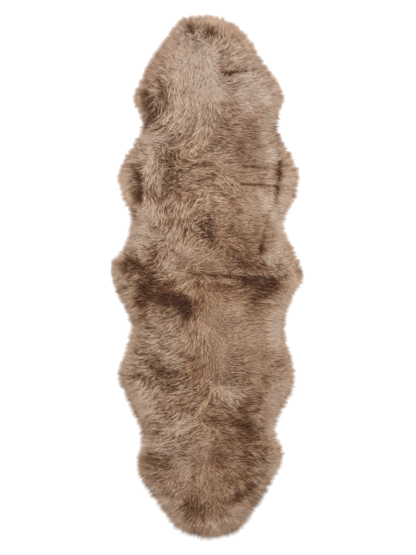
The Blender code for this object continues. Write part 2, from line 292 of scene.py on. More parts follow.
TONES = (
    Tone("crown left tuft", (-0.060, 0.866), (-0.052, 0.852), 0.018, -0.95, +0.2),
    Tone("crown right tuft", (0.008, 0.842), (0.020, 0.838), 0.018, -1.05, +0.4),
    Tone("crown right brown", (0.112, 0.815), (0.162, 0.752), 0.012, -0.20, +0.2),
    Tone("crown middle", (0.036, 0.796), (0.046, 0.788), 0.016, +0.28),
    Tone("crown rim", (0.016, 0.894), (0.024, 0.888), 0.014, +0.30),
    Tone("panel edge light", (0.022, 0.776), (0.032, 0.705), 0.026, +0.46),
    Tone("brow left shade", (0.040, 0.738), (0.052, 0.732), 0.016, -0.28, +0.1),
    Tone("panel top", (-0.112, 0.680), (-0.096, 0.650), 0.018, +0.32),
    Tone("panel crown", (-0.034, 0.752), (-0.024, 0.742), 0.020, +0.30),
    Tone("brow parting", (0.052, 0.701), (0.078, 0.698), 0.010, -0.90, +0.3),
    Tone("brow parting end", (0.084, 0.700), (0.142, 0.708), 0.006, -0.80, +0.3),
    Tone("left shoulder shade", (-0.214, 0.625), (-0.208, 0.582), 0.023, -1.20),
    Tone("right of the shoulder shade", (-0.160, 0.620), (-0.135, 0.580), 0.024, -0.50, +0.1),
    Tone("left shoulder spot", (-0.170, 0.675), (-0.155, 0.640), 0.016, -0.70, +0.2),
    Tone("left shoulder top", (-0.212, 0.668), (-0.206, 0.662), 0.014, -0.55, +0.2),
    Tone("left shoulder light", (-0.170, 0.695), (-0.160, 0.685), 0.018, +0.20),
    Tone("left elbow notch", (-0.220, 0.515), (-0.175, 0.570), 0.015, -1.00, +0.2),
    Tone("under the panel", (-0.075, 0.585), (-0.045, 0.585), 0.020, +0.22, +0.3),
    Tone("right of the panel", (0.000, 0.598), (0.008, 0.590), 0.018, -0.22, +0.2),
    Tone("beside the left shoulder", (-0.105, 0.600), (-0.100, 0.535), 0.024, +0.42, +0.1),
    Tone("middle of the shoulder", (-0.056, 0.552), (-0.052, 0.545), 0.022, +0.12),
    Tone("under the brow", (0.044, 0.625), (0.050, 0.610), 0.026, +0.26),
    Tone("left shoulder low", (-0.125, 0.527), (-0.160, 0.500), 0.025, +0.05, +0.1),
    Tone("left shoulder rim", (-0.238, 0.580), (-0.240, 0.560), 0.014, +0.20),
    Tone("left elbow shade", (-0.160, 0.460), (-0.150, 0.452), 0.014, -0.20, +0.1),
    Tone("upper left elbow light", (-0.220, 0.490), (-0.212, 0.472), 0.018, +0.34),
    Tone("right shoulder shade", (0.070, 0.570), (0.095, 0.535), 0.034, -0.12, +0.5),
    Tone("right chest low", (0.064, 0.465), (0.110, 0.450), 0.028, -0.42, +0.4),
    Tone("right chest shade", (0.158, 0.515), (0.162, 0.480), 0.026, -0.34, +0.4),
    Tone("inner parting", (-0.112, 0.412), (-0.138, 0.290), 0.020, -0.50, +0.2),
    Tone("back waves shade", (-0.060, 0.395), (0.010, 0.385), 0.015, -0.35, +0.1),
    Tone("back waves top", (-0.096, 0.388), (-0.088, 0.384), 0.016, +0.22),
    Tone("back waves low shade", (-0.100, 0.322), (-0.062, 0.314), 0.017, -0.34, +0.1),
    Tone("middle of the back", (0.000, 0.262), (0.060, 0.262), 0.034, +0.44, +0.1),
    Tone("back of the loin", (-0.044, 0.214), (-0.030, 0.210), 0.022, +0.36),
    Tone("above the rump", (0.000, 0.128), (0.008, 0.122), 0.018, -0.25, +0.1),
    Tone("middle of the rump", (-0.080, 0.084), (-0.038, 0.060), 0.018, +0.25),
    Tone("rump slope top", (0.000, 0.070), (0.040, 0.050), 0.022, +0.40),
    Tone("foot of the swirl", (-0.172, 0.412), (-0.162, 0.405), 0.020, -0.22),
    Tone("left of the back", (-0.100, 0.285), (-0.076, 0.262), 0.024, -0.48, +0.2),
    Tone("right of the loin tufts", (-0.084, 0.222), (-0.074, 0.216), 0.020, +0.28),
    Tone("inner back", (-0.088, 0.372), (-0.080, 0.360), 0.018, -0.25, +0.2),
    Tone("middle back", (-0.060, 0.100), (-0.050, 0.088), 0.020, +0.42),
    Tone("left belly parting", (-0.232, 0.350), (-0.228, 0.240), 0.012, -0.80, +0.3),
    Tone("left belly brown", (-0.252, 0.372), (-0.246, 0.345), 0.016, -0.70, +0.2),
    Tone("left belly shade", (-0.248, 0.290), (-0.242, 0.255), 0.022, -0.85, +0.5),
    Tone("left belly rim", (-0.294, 0.340), (-0.284, 0.265), 0.020, +0.52),
    Tone("left loin top", (-0.236, 0.240), (-0.230, 0.226), 0.016, +0.48),
    Tone("left belly spot", (-0.262, 0.222), (-0.254, 0.206), 0.013, -0.62, +0.6),
    Tone("left belly light", (-0.221, 0.235), (-0.221, 0.115), 0.020, +0.48),
    Tone("right belly parting", (0.253, 0.394), (0.250, 0.335), 0.008, -1.15, +0.3),
    Tone("right belly parting core", (0.244, 0.362), (0.254, 0.354), 0.011, -0.65, +0.4),
    Tone("back turn", (0.060, 0.320), (0.090, 0.300), 0.022, +0.15, +0.1),
    Tone("back turn shade", (0.018, 0.350), (0.028, 0.340), 0.016, -0.34, +0.1),
    Tone("back waves light", (-0.060, 0.326), (-0.044, 0.322), 0.018, +0.28),
    Tone("right belly parting low", (0.246, 0.305), (0.240, 0.250), 0.005, -0.90, +0.2),
    Tone("right belly knot", (0.240, 0.310), (0.246, 0.300), 0.008, -0.55, +0.3),
    Tone("right belly edge", (0.214, 0.240), (0.256, 0.180), 0.022, +0.75),
    Tone("right belly parting light", (0.218, 0.392), (0.220, 0.318), 0.014, +0.35),
    Tone("right belly line", (0.130, 0.378), (0.236, 0.368), 0.005, -0.65, +0.2),
    Tone("right belly line low", (0.120, 0.318), (0.238, 0.308), 0.005, -0.78, +0.2),
    Tone("right loin parting", (0.215, 0.215), (0.188, 0.085), 0.007, -0.55, +0.2),
    Tone("right rump shade", (0.062, 0.100), (0.078, 0.080), 0.020, -0.46, +0.4),
    Tone("right loin spot", (0.044, 0.172), (0.052, 0.172), 0.018, -0.16, +0.2),
    Tone("right rump shade end", (0.110, 0.072), (0.190, 0.078), 0.018, -0.34, +0.4),
    Tone("left loin shade", (-0.195, 0.172), (-0.095, 0.184), 0.018, -0.28, +0.2),
    Tone("right rump low shade", (0.130, 0.040), (0.196, 0.030), 0.022, -0.74, +0.4),
    Tone("right flap corner", (0.192, 0.100), (0.200, 0.090), 0.014, -0.55, +0.2),
    Tone("rump slope light", (0.040, 0.028), (0.062, 0.014), 0.016, +0.20),
    Tone("above the seam", (0.004, 0.026), (0.012, 0.022), 0.014, +0.30),
    Tone("back speckle", (-0.012, 0.196), (0.012, 0.148), 0.026, -0.50),
    Tone("left leg shade", (-0.290, 0.056), (-0.238, 0.044), 0.024, -0.95, +0.2),
    Tone("left leg heel", (-0.284, 0.022), (-0.272, 0.014), 0.016, -0.62, +0.2),
    Tone("above the left leg", (-0.230, 0.078), (-0.222, 0.070), 0.014, +0.42),
    Tone("left rump tuft", (-0.136, 0.040), (-0.120, 0.052), 0.018, +0.42),
    Tone("left of the tuft", (-0.190, 0.080), (-0.178, 0.026), 0.018, -0.45, +0.1),
    Tone("left leg low shade", (-0.248, 0.034), (-0.195, -0.018), 0.017, -0.60, +0.2),
    Tone("left leg rim", (-0.310, -0.050), (-0.304, -0.060), 0.014, -0.26, +0.2),
    Tone("left leg top rim", (-0.304, 0.076), (-0.296, 0.066), 0.014, +0.40),
    Tone("left rump shade", (-0.190, -0.014), (-0.110, -0.022), 0.016, -0.38, +0.2),
    Tone("left leg foot light", (-0.268, -0.016), (-0.262, -0.022), 0.016, +0.24, +0.2),
    Tone("left leg patch", (-0.226, 0.050), (-0.214, 0.044), 0.014, +0.30),
    Tone("left of the seam", (-0.262, -0.012), (-0.215, -0.030), 0.013, -0.40, +0.2),
    Tone("left rump rim", (-0.262, -0.058), (-0.240, -0.056), 0.012, +0.30, -0.1),
    Tone("left leg inner shade", (-0.210, 0.030), (-0.190, 0.005), 0.017, -0.50, +0.3),
    Tone("left of the rump", (-0.180, 0.095), (-0.175, 0.085), 0.016, -0.35, +0.1),
    Tone("seam line", (-0.055, 0.010), (0.125, 0.000), 0.008, -0.62, +0.1),
    Tone("seam middle", (0.112, 0.012), (0.122, 0.008), 0.012, +0.30),
    Tone("seam line right", (0.125, -0.005), (0.262, -0.008), 0.012, -0.55, +0.2),
    Tone("right seam hollow", (0.135, -0.022), (0.240, -0.032), 0.018, -0.85, +0.5),
    Tone("right seam hollow low", (0.168, -0.072), (0.215, -0.056), 0.023, -0.85, +0.5),
    Tone("right rump brown", (0.160, -0.112), (0.230, -0.112), 0.022, -0.22, +0.3),
    Tone("below the seam line", (-0.040, -0.034), (0.100, -0.038), 0.013, -0.44, +0.3),
    Tone("right of the seam ridge", (0.078, -0.034), (0.088, -0.036), 0.014, -0.28, +0.2),
    Tone("right of the band end", (-0.026, -0.080), (-0.028, -0.110), 0.015, -0.30, +0.2),
    Tone("above the band end", (-0.064, -0.050), (-0.056, -0.062), 0.016, +0.40),
    Tone("left seam band", (-0.232, -0.056), (-0.108, -0.086), 0.030, -1.10, +0.2),
    Tone("left seam band foot", (-0.232, -0.084), (-0.222, -0.090), 0.017, -0.50, +0.2),
    Tone("left seam band top", (-0.160, -0.034), (-0.130, -0.044), 0.018, -0.50, +0.2),
    Tone("left seam band end", (-0.080, -0.089), (-0.066, -0.128), 0.027, -1.20),
    Tone("left rump low shade", (-0.232, -0.098), (-0.222, -0.132), 0.018, -0.52, +0.2),
    Tone("left flank hollow", (-0.206, -0.300), (-0.176, -0.325), 0.020, -0.80, +0.3),
    Tone("left flank shade", (-0.150, -0.325), (-0.075, -0.328), 0.024, -0.42, +0.3),
    Tone("right of the left flank", (-0.068, -0.312), (-0.062, -0.322), 0.014, +0.30),
    Tone("left of the middle tufts", (-0.140, -0.365), (-0.050, -0.392), 0.026, -0.44, +0.2),
    Tone("under the middle tufts", (-0.080, -0.450), (-0.074, -0.458), 0.018, -0.45, +0.2),
    Tone("over the red wool", (-0.002, -0.452), (0.008, -0.456), 0.014, +0.35, +0.2),
    Tone("left flank dark", (-0.240, -0.350), (-0.212, -0.362), 0.024, -0.95),
    Tone("right flank brown", (0.135, -0.345), (0.150, -0.360), 0.018, -0.35, +0.2),
    Tone("right flank tuft", (0.202, -0.352), (0.216, -0.368), 0.022, -0.45, +0.1),
    Tone("middle shade", (-0.060, -0.290), (-0.030, -0.325), 0.026, -0.42, +0.5),
    Tone("lower middle", (0.000, -0.178), (0.040, -0.215), 0.044, +0.42, +0.2),
    Tone("lower middle top", (0.010, -0.045), (0.030, -0.150), 0.024, +0.20, +0.2),
    Tone("lower middle foot", (0.046, -0.250), (0.060, -0.320), 0.026, +0.40, +0.2),
    Tone("middle column", (0.022, -0.235), (0.024, -0.245), 0.020, -0.22),
    Tone("across the star", (-0.030, -0.374), (0.044, -0.318), 0.015, +0.10, +0.1),
    Tone("left of the star line", (0.000, -0.372), (-0.022, -0.425), 0.009, -0.14, +0.1),
    Tone("across the middle", (-0.100, -0.235), (-0.070, -0.215), 0.016, +0.20, +0.1),
    Tone("left loin spot", (-0.172, -0.286), (-0.164, -0.292), 0.014, -0.34, +0.1),
    Tone("loin tuft", (-0.130, -0.275), (-0.108, -0.300), 0.016, +0.40),
    Tone("left loin rim shade", (-0.252, -0.250), (-0.236, -0.255), 0.017, -0.42, +0.1),
    Tone("left loin rim", (-0.276, -0.252), (-0.270, -0.275), 0.020, +0.48),
    Tone("left loin shade low", (-0.205, -0.258), (-0.174, -0.276), 0.017, -0.42, +0.1),
    Tone("red shade", (0.000, -0.488), (0.080, -0.490), 0.024, -0.32, +0.9),
    Tone("red shade right", (0.110, -0.500), (0.155, -0.525), 0.024, -0.62, +0.6),
    Tone("right of the red wool", (0.136, -0.462), (0.150, -0.500), 0.018, -0.58, +0.4),
    Tone("right belly shade", (0.130, -0.570), (0.138, -0.672), 0.026, -0.38, +0.5),
    Tone("lower right belly shade", (0.110, -0.462), (0.160, -0.410), 0.018, -0.40, +0.4),
    Tone("right flank streak", (0.190, -0.410), (0.170, -0.455), 0.013, -0.45, +0.3),
    Tone("lower right belly light", (0.160, -0.350), (0.170, -0.356), 0.018, +0.28, +0.2),
    Tone("lower right belly edge", (0.222, -0.460), (0.220, -0.480), 0.016, -0.26, +0.2),
    Tone("below the red wool", (0.080, -0.550), (0.180, -0.556), 0.024, -0.46, +0.5),
    Tone("right foreleg light", (0.192, -0.556), (0.200, -0.560), 0.014, +0.38),
    Tone("right of the middle tuft", (0.112, -0.572), (0.120, -0.566), 0.016, +0.30, +0.1),
    Tone("left of the light patch", (-0.180, -0.541), (-0.170, -0.541), 0.016, -0.28, +0.2),
    Tone("under the light patch", (-0.028, -0.541), (-0.018, -0.541), 0.014, -0.32, +0.3),
    Tone("star right shade", (0.025, -0.570), (0.056, -0.645), 0.028, -0.38, +0.5),
    Tone("star foot", (0.036, -0.672), (0.048, -0.674), 0.018, +0.34),
    Tone("star right brown", (0.100, -0.585), (0.104, -0.590), 0.020, -0.24, +0.4),
    Tone("star tip light", (0.104, -0.622), (0.106, -0.628), 0.018, +0.14),
    Tone("right of the star", (0.146, -0.620), (0.152, -0.632), 0.018, -0.38, +0.2),
    Tone("star left light", (-0.084, -0.650), (-0.070, -0.690), 0.022, +0.36),
    Tone("left of the star foot", (-0.046, -0.690), (-0.040, -0.700), 0.018, -0.30, +0.1),
    Tone("star foot light", (-0.030, -0.700), (-0.020, -0.690), 0.016, +0.32),
    Tone("below the star", (0.020, -0.760), (0.028, -0.768), 0.018, -0.16),
    Tone("star low right shade", (0.080, -0.695), (0.140, -0.695), 0.022, -0.25, +0.4),
    Tone("right neck shade", (0.170, -0.690), (0.176, -0.700), 0.014, -0.26),
    Tone("right foreleg shade", (0.204, -0.550), (0.196, -0.620), 0.018, -0.42, +0.4),
    Tone("left foreleg shade", (-0.215, -0.610), (-0.150, -0.645), 0.024, -0.62, +0.2),
    Tone("left foreleg spot", (-0.165, -0.745), (-0.140, -0.750), 0.010, -0.30),
    Tone("neck hollow", (-0.067, -0.785), (-0.026, -0.806), 0.026, -0.72, +0.3),
    Tone("lower crown shade", (-0.062, -0.832), (-0.052, -0.842), 0.022, -0.35, +0.3),
    Tone("neck shade", (0.012, -0.797), (0.070, -0.815), 0.020, -0.25, +0.2),
    Tone("neck middle shade", (-0.040, -0.765), (-0.030, -0.770), 0.020, -0.10, +0.2),
    Tone("right neck parting", (0.090, -0.770), (0.150, -0.735), 0.016, -0.72, +0.4),
    Tone("right neck spot", (0.150, -0.710), (0.165, -0.720), 0.008, -1.00, -0.2),
    Tone("right neck rim", (0.168, -0.768), (0.180, -0.772), 0.018, -0.45, +0.2),
    Tone("above the parting", (0.130, -0.750), (0.142, -0.745), 0.012, +0.20),
    Tone("lower crown tuft", (-0.052, -0.886), (-0.026, -0.888), 0.016, -0.62, +0.3),
    Tone("above the lower crown", (0.022, -0.850), (0.030, -0.858), 0.018, +0.28),
    Tone("lower crown rim", (0.024, -0.864), (0.032, -0.868), 0.016, +0.22),
    Tone("lower crown right rim", (0.076, -0.882), (0.086, -0.878), 0.016, -0.34, +0.1),
    Tone("lower crown light", (0.066, -0.832), (0.100, -0.834), 0.014, +0.35),
    Tone("neck panel", (-0.080, 0.740), (-0.005, 0.620), 0.066, +0.58),
    Tone("panel right", (0.015, 0.760), (0.025, 0.675), 0.022, +0.24, -0.3),
    Tone("foreleg lobe", (0.145, 0.645), (0.205, 0.620), 0.038, +0.50, -0.1),
    Tone("under the lobe", (0.115, 0.610), (0.146, 0.575), 0.024, +0.42),
    Tone("lobe rim", (0.220, 0.600), (0.230, 0.575), 0.018, +0.30),
    Tone("left neck shade", (-0.150, 0.765), (-0.205, 0.715), 0.024, -0.16),
    Tone("right neck", (0.110, 0.795), (0.135, 0.770), 0.028, +0.25, -0.2),
    Tone("right crown", (0.080, 0.795), (0.086, 0.780), 0.026, +0.05),
    Tone("above the lobe", (0.128, 0.688), (0.188, 0.680), 0.018, +0.55),
    Tone("brow light", (0.080, 0.735), (0.150, 0.735), 0.020, +0.15, -0.1),
    Tone("above the brow", (0.086, 0.746), (0.096, 0.742), 0.018, +0.25),
    Tone("left column", (-0.200, 0.470), (-0.194, 0.315), 0.019, +0.42),
    Tone("left column end", (-0.198, 0.280), (-0.188, 0.260), 0.022, -0.48, +0.2),
    Tone("grey swirl", (-0.170, 0.466), (-0.145, 0.456), 0.016, +0.48, -0.6),
    Tone("below the swirl", (-0.155, 0.412), (-0.112, 0.390), 0.015, -0.08, +0.2),
    Tone("shoulder sweep", (-0.050, 0.425), (-0.025, 0.490), 0.024, +0.45),
    Tone("shoulder sweep shade", (-0.090, 0.480), (-0.078, 0.475), 0.022, -0.20, +0.1),
    Tone("back light", (0.055, 0.405), (0.050, 0.290), 0.034, +0.05, +0.1),
    Tone("right belly light", (0.190, 0.278), (0.212, 0.256), 0.022, +0.42),
    Tone("above the right loin", (0.145, 0.240), (0.155, 0.222), 0.024, +0.24),
    Tone("right loin edge", (0.200, 0.170), (0.206, 0.155), 0.016, +0.30),
    Tone("right loin shade", (0.175, 0.160), (0.190, 0.140), 0.026, -0.20, +0.3),
    Tone("right loin brown", (0.085, 0.165), (0.145, 0.118), 0.022, -0.46, +0.4),
    Tone("middle loin brown", (0.020, 0.128), (0.030, 0.124), 0.020, -0.28, +0.2),
    Tone("right back shade", (0.090, 0.300), (0.096, 0.236), 0.024, -0.26, +0.3),
    Tone("right belly middle", (0.139, 0.335), (0.141, 0.325), 0.018, +0.10, +0.3),
    Tone("right belly rim", (0.282, 0.345), (0.284, 0.270), 0.020, +0.72, -0.3),
    Tone("right belly rim foot", (0.262, 0.270), (0.266, 0.235), 0.018, +0.66, -0.1),
    Tone("right chest rim", (0.222, 0.565), (0.232, 0.545), 0.018, +0.15, -0.1),
    Tone("right chest light", (0.205, 0.525), (0.222, 0.410), 0.022, +0.38),
    Tone("right chest rim shade", (0.250, 0.515), (0.256, 0.470), 0.014, -0.50, +0.1),
    Tone("right chest low rim", (0.236, 0.428), (0.238, 0.410), 0.014, +0.48),
    Tone("right side brown", (0.124, 0.420), (0.134, 0.398), 0.028, -0.26, +0.2),
    Tone("left loin tufts", (-0.210, 0.250), (-0.170, 0.200), 0.027, +0.30, -0.1),
    Tone("left loin light", (-0.250, 0.165), (-0.200, 0.150), 0.022, +0.20, -0.2),
    Tone("left curl", (-0.250, 0.115), (-0.235, 0.090), 0.014, +0.60, -0.2),
    Tone("middle back light", (-0.130, 0.140), (-0.085, 0.105), 0.026, +0.22),
    Tone("right flap", (0.222, 0.060), (0.262, 0.130), 0.025, +0.60, -0.4),
    Tone("right flap foot", (0.217, 0.062), (0.217, 0.054), 0.016, +0.28, -0.2),
    Tone("right flap low", (0.258, 0.082), (0.270, 0.064), 0.022, +0.50, -0.2),
    Tone("right hind leg", (0.292, 0.040), (0.314, -0.020), 0.020, +0.55, -0.1),
    Tone("right hind leg foot", (0.300, -0.026), (0.312, -0.036), 0.018, +0.40),
    Tone("right hind leg tip", (0.324, 0.020), (0.332, 0.010), 0.019, -0.62, +0.5),
    Tone("right rump rim", (0.285, -0.085), (0.275, -0.120), 0.024, +0.22, -0.2),
    Tone("rump light", (-0.140, 0.020), (-0.110, 0.022), 0.018, +0.12),
    Tone("rump sweep shade", (-0.090, 0.034), (-0.080, 0.036), 0.012, -0.20, +0.1),
    Tone("lower loin top shade", (-0.150, -0.110), (-0.145, -0.145), 0.022, -0.24, -0.1),
    Tone("lower loin shade", (-0.080, -0.165), (-0.064, -0.190), 0.020, -0.40, +0.1),
    Tone("left loin", (-0.200, -0.200), (-0.190, -0.264), 0.022, +0.26, -0.1),
    Tone("warm middle", (0.020, -0.120), (0.030, -0.380), 0.090, +0.05, +0.3),
    Tone("right loin light", (0.110, -0.200), (0.200, -0.205), 0.036, +0.22, +0.1),
    Tone("right flank light", (0.130, -0.240), (0.140, -0.242), 0.024, +0.10, +0.1),
    Tone("right rump fan", (0.050, -0.108), (0.100, -0.114), 0.028, +0.50),
    Tone("lower right rim", (0.245, -0.120), (0.244, -0.215), 0.024, +0.62, -0.4),
    Tone("lower right rim shade", (0.262, -0.280), (0.258, -0.300), 0.024, -0.06),
    Tone("right flank grey", (0.218, -0.140), (0.250, -0.262), 0.020, +0.34, -0.1),
    Tone("left tufts", (-0.232, -0.385), (-0.214, -0.452), 0.028, +1.10, -0.1),
    Tone("left tufts foot", (-0.218, -0.430), (-0.206, -0.448), 0.020, +1.15),
    Tone("left tufts rim", (-0.258, -0.440), (-0.250, -0.485), 0.013, -0.38, +0.4),
    Tone("left flank light", (-0.222, -0.302), (-0.215, -0.308), 0.016, +0.32, -0.1),
    Tone("left of the middle", (-0.135, -0.455), (-0.128, -0.470), 0.022, -0.15, +0.1),
    Tone("left flank rim", (-0.305, -0.290), (-0.295, -0.340), 0.021, +0.05),
    Tone("star tuft", (0.042, -0.385), (0.088, -0.404), 0.023, +1.05),
    Tone("middle tufts", (-0.085, -0.385), (-0.058, -0.393), 0.015, +0.30, -0.1),
    Tone("left of the star tuft", (-0.002, -0.408), (0.014, -0.412), 0.016, -0.35, +0.4),
    Tone("light patch", (-0.110, -0.530), (-0.055, -0.505), 0.024, +0.70),
    Tone("above the light patch", (-0.096, -0.506), (-0.070, -0.500), 0.018, +0.55),
    Tone("middle tuft", (-0.010, -0.550), (0.010, -0.580), 0.024, +0.50, -0.1),
    Tone("left of the middle tuft", (-0.055, -0.590), (-0.040, -0.590), 0.025, +0.25),
    Tone("left elbow light", (-0.165, -0.570), (-0.122, -0.578), 0.022, +0.40, -0.3),
    Tone("left foreleg rim", (-0.232, -0.640), (-0.224, -0.650), 0.020, -0.32, +0.2),
    Tone("left neck rim", (-0.190, -0.700), (-0.100, -0.830), 0.025, -0.20, +0.1),
    Tone("left of the star", (-0.232, -0.596), (-0.222, -0.600), 0.014, +0.34),
    Tone("above the foreleg", (-0.226, -0.574), (-0.220, -0.584), 0.016, +0.38),
    Tone("right belly grey", (0.235, -0.370), (0.225, -0.545), 0.024, +0.45, -0.4),
    Tone("right flank rim", (0.278, -0.362), (0.264, -0.400), 0.018, +0.45, -0.1),
    Tone("left neck line", (-0.184, -0.722), (-0.144, -0.775), 0.014, +0.42),
    Tone("lower neck patch", (0.090, -0.800), (0.115, -0.795), 0.020, +0.50, -0.2),
    Tone("lower neck left", (-0.132, -0.780), (-0.090, -0.845), 0.022, +0.38),
    Tone("lower neck right", (0.240, -0.640), (0.236, -0.668), 0.020, +0.48, -0.1),
    Tone("whole neck", (-0.060, 0.820), (0.020, 0.590), 0.110, +0.00, -0.8),
    Tone("whole right shoulder", (0.180, 0.700), (0.190, 0.460), 0.075, +0.00, -0.9),
    Tone("whole left side", (-0.200, 0.600), (-0.220, 0.200), 0.060, +0.00, -0.4),
    Tone("whole right side", (0.170, 0.420), (0.200, 0.180), 0.060, +0.00, -0.5),
    Tone("whole back", (-0.060, 0.380), (0.050, 0.060), 0.090, +0.00, +0.6),
    Tone("whole rump", (-0.170, -0.060), (0.120, -0.060), 0.070, +0.00, +0.6),
    Tone("whole lower belly", (-0.040, -0.400), (0.060, -0.680), 0.090, +0.00, +0.4),
)


def linear(red: int, green: int, blue: int) -> Colour:
    """Turn an 8-bit display colour into linear light.

    Args:
        red: red from 0 to 255.
        green: green from 0 to 255.
        blue: blue from 0 to 255.

    Returns:
        The same colour as three linear values from 0 to 1.
    """
    shares = [value / 255 for value in (red, green, blue)]
    return tuple(s / 12.92 if s <= 0.04045 else ((s + 0.055) / 1.055) ** 2.4 for s in shares)


def smooth_step(values: Array, low: float, high: float) -> Array:
    """Rise smoothly from 0 at one value to 1 at another.

    Args:
        values: numbers to map.
        low: where the rise starts.
        high: where the rise ends, which may lie below its start.

    Returns:
        A share from 0 to 1 for each value.
    """
    share = np.clip((values - low) / (high - low), 0.0, 1.0)
    return share * share * (3 - 2 * share)


def unit(angles: Array) -> Array:
    """Turn angles from +X into x and y of length 1, along a new last axis."""
    return np.stack([np.cos(angles), np.sin(angles)], axis=-1)


def blend_cells(grid: Array, cell: Array, after: Array, share: Array) -> Array:
    """Blend the four cells of a grid about each point.

    Args:
        grid: values by row and column.
        cell: the column and row below each point.
        after: the column and row above it.
        share: how far it lies between them, across and up.

    Returns:
        What the grid holds at each point.
    """
    column, row = cell.T
    next_column, next_row = after.T
    across, up = share[:, 0], share[:, 1]
    lower = grid[row, column] * (1 - across) + grid[row, next_column] * across
    upper = grid[next_row, column] * (1 - across) + grid[next_row, next_column] * across
    return lower * (1 - up) + upper * up


def as_share(values: Array) -> Array:
    """Turn numbers about 0 into shares about one half, held from 0 to 1."""
    return np.clip(0.5 + 0.5 * values, 0.0, 1.0)


def line_distances(points: Array, start: Point, end: Point) -> Array:
    """Measure how far points lie from a line between two others.

    Args:
        points: rows of x and y.
        start: one end of the line.
        end: its other end.

    Returns:
        One distance for each point.
    """
    origin = np.array(start)
    along = np.array(end) - origin
    share = np.clip((points - origin) @ along / max(along @ along, 1e-12), 0.0, 1.0)
    return np.linalg.norm(points - origin - share[:, None] * along, axis=1)


def deselect_all() -> None:
    """Leave object mode with nothing selected."""
    if bpy.context.object and bpy.context.object.mode != "OBJECT":
        bpy.ops.object.mode_set(mode="OBJECT")
    bpy.ops.object.select_all(action="DESELECT")


def make_active(thing: Piece) -> None:
    """Select one object alone and make it the active one."""
    deselect_all()
    thing.select_set(True)
    bpy.context.view_layer.objects.active = thing


def vertex_array(thing: Piece) -> Array:
    """Read an object's vertices as rows of x, y and z."""
    places = np.empty(len(thing.data.vertices) * 3)
    thing.data.vertices.foreach_get("co", places)
    return places.reshape(-1, 3)


def place_vertices(thing: Piece, places: Array) -> None:
    """Write rows of x, y and z back to an object's vertices."""
    thing.data.vertices.foreach_set("co", places.ravel())
    thing.data.update()


def select_vertices(thing: Piece, chosen: Array) -> None:
    """Select some of an object's vertices and enter its edit mode.

    Args:
        thing: the mesh object.
        chosen: True for each vertex to select.
    """
    make_active(thing)
    mesh = thing.data
    mesh.vertices.foreach_set("select", chosen)
    mesh.edges.foreach_set("select", np.zeros(len(mesh.edges), bool))
    mesh.polygons.foreach_set("select", np.zeros(len(mesh.polygons), bool))
    bpy.ops.object.mode_set(mode="EDIT")
    bpy.ops.mesh.select_mode(type="VERT")


def selected_vertices(thing: Piece) -> Array:
    """Mark which of an object's vertices are selected."""
    marked = np.zeros(len(thing.data.vertices), bool)
    thing.data.vertices.foreach_get("select", marked)
    return marked


def set_point_values(thing: Piece, name: str, values: Array) -> None:
    """Store one number for each vertex as a named attribute of the mesh."""
    attribute = thing.data.attributes.new(name, "FLOAT", "POINT")
    attribute.data.foreach_set("value", values.astype(np.float32))


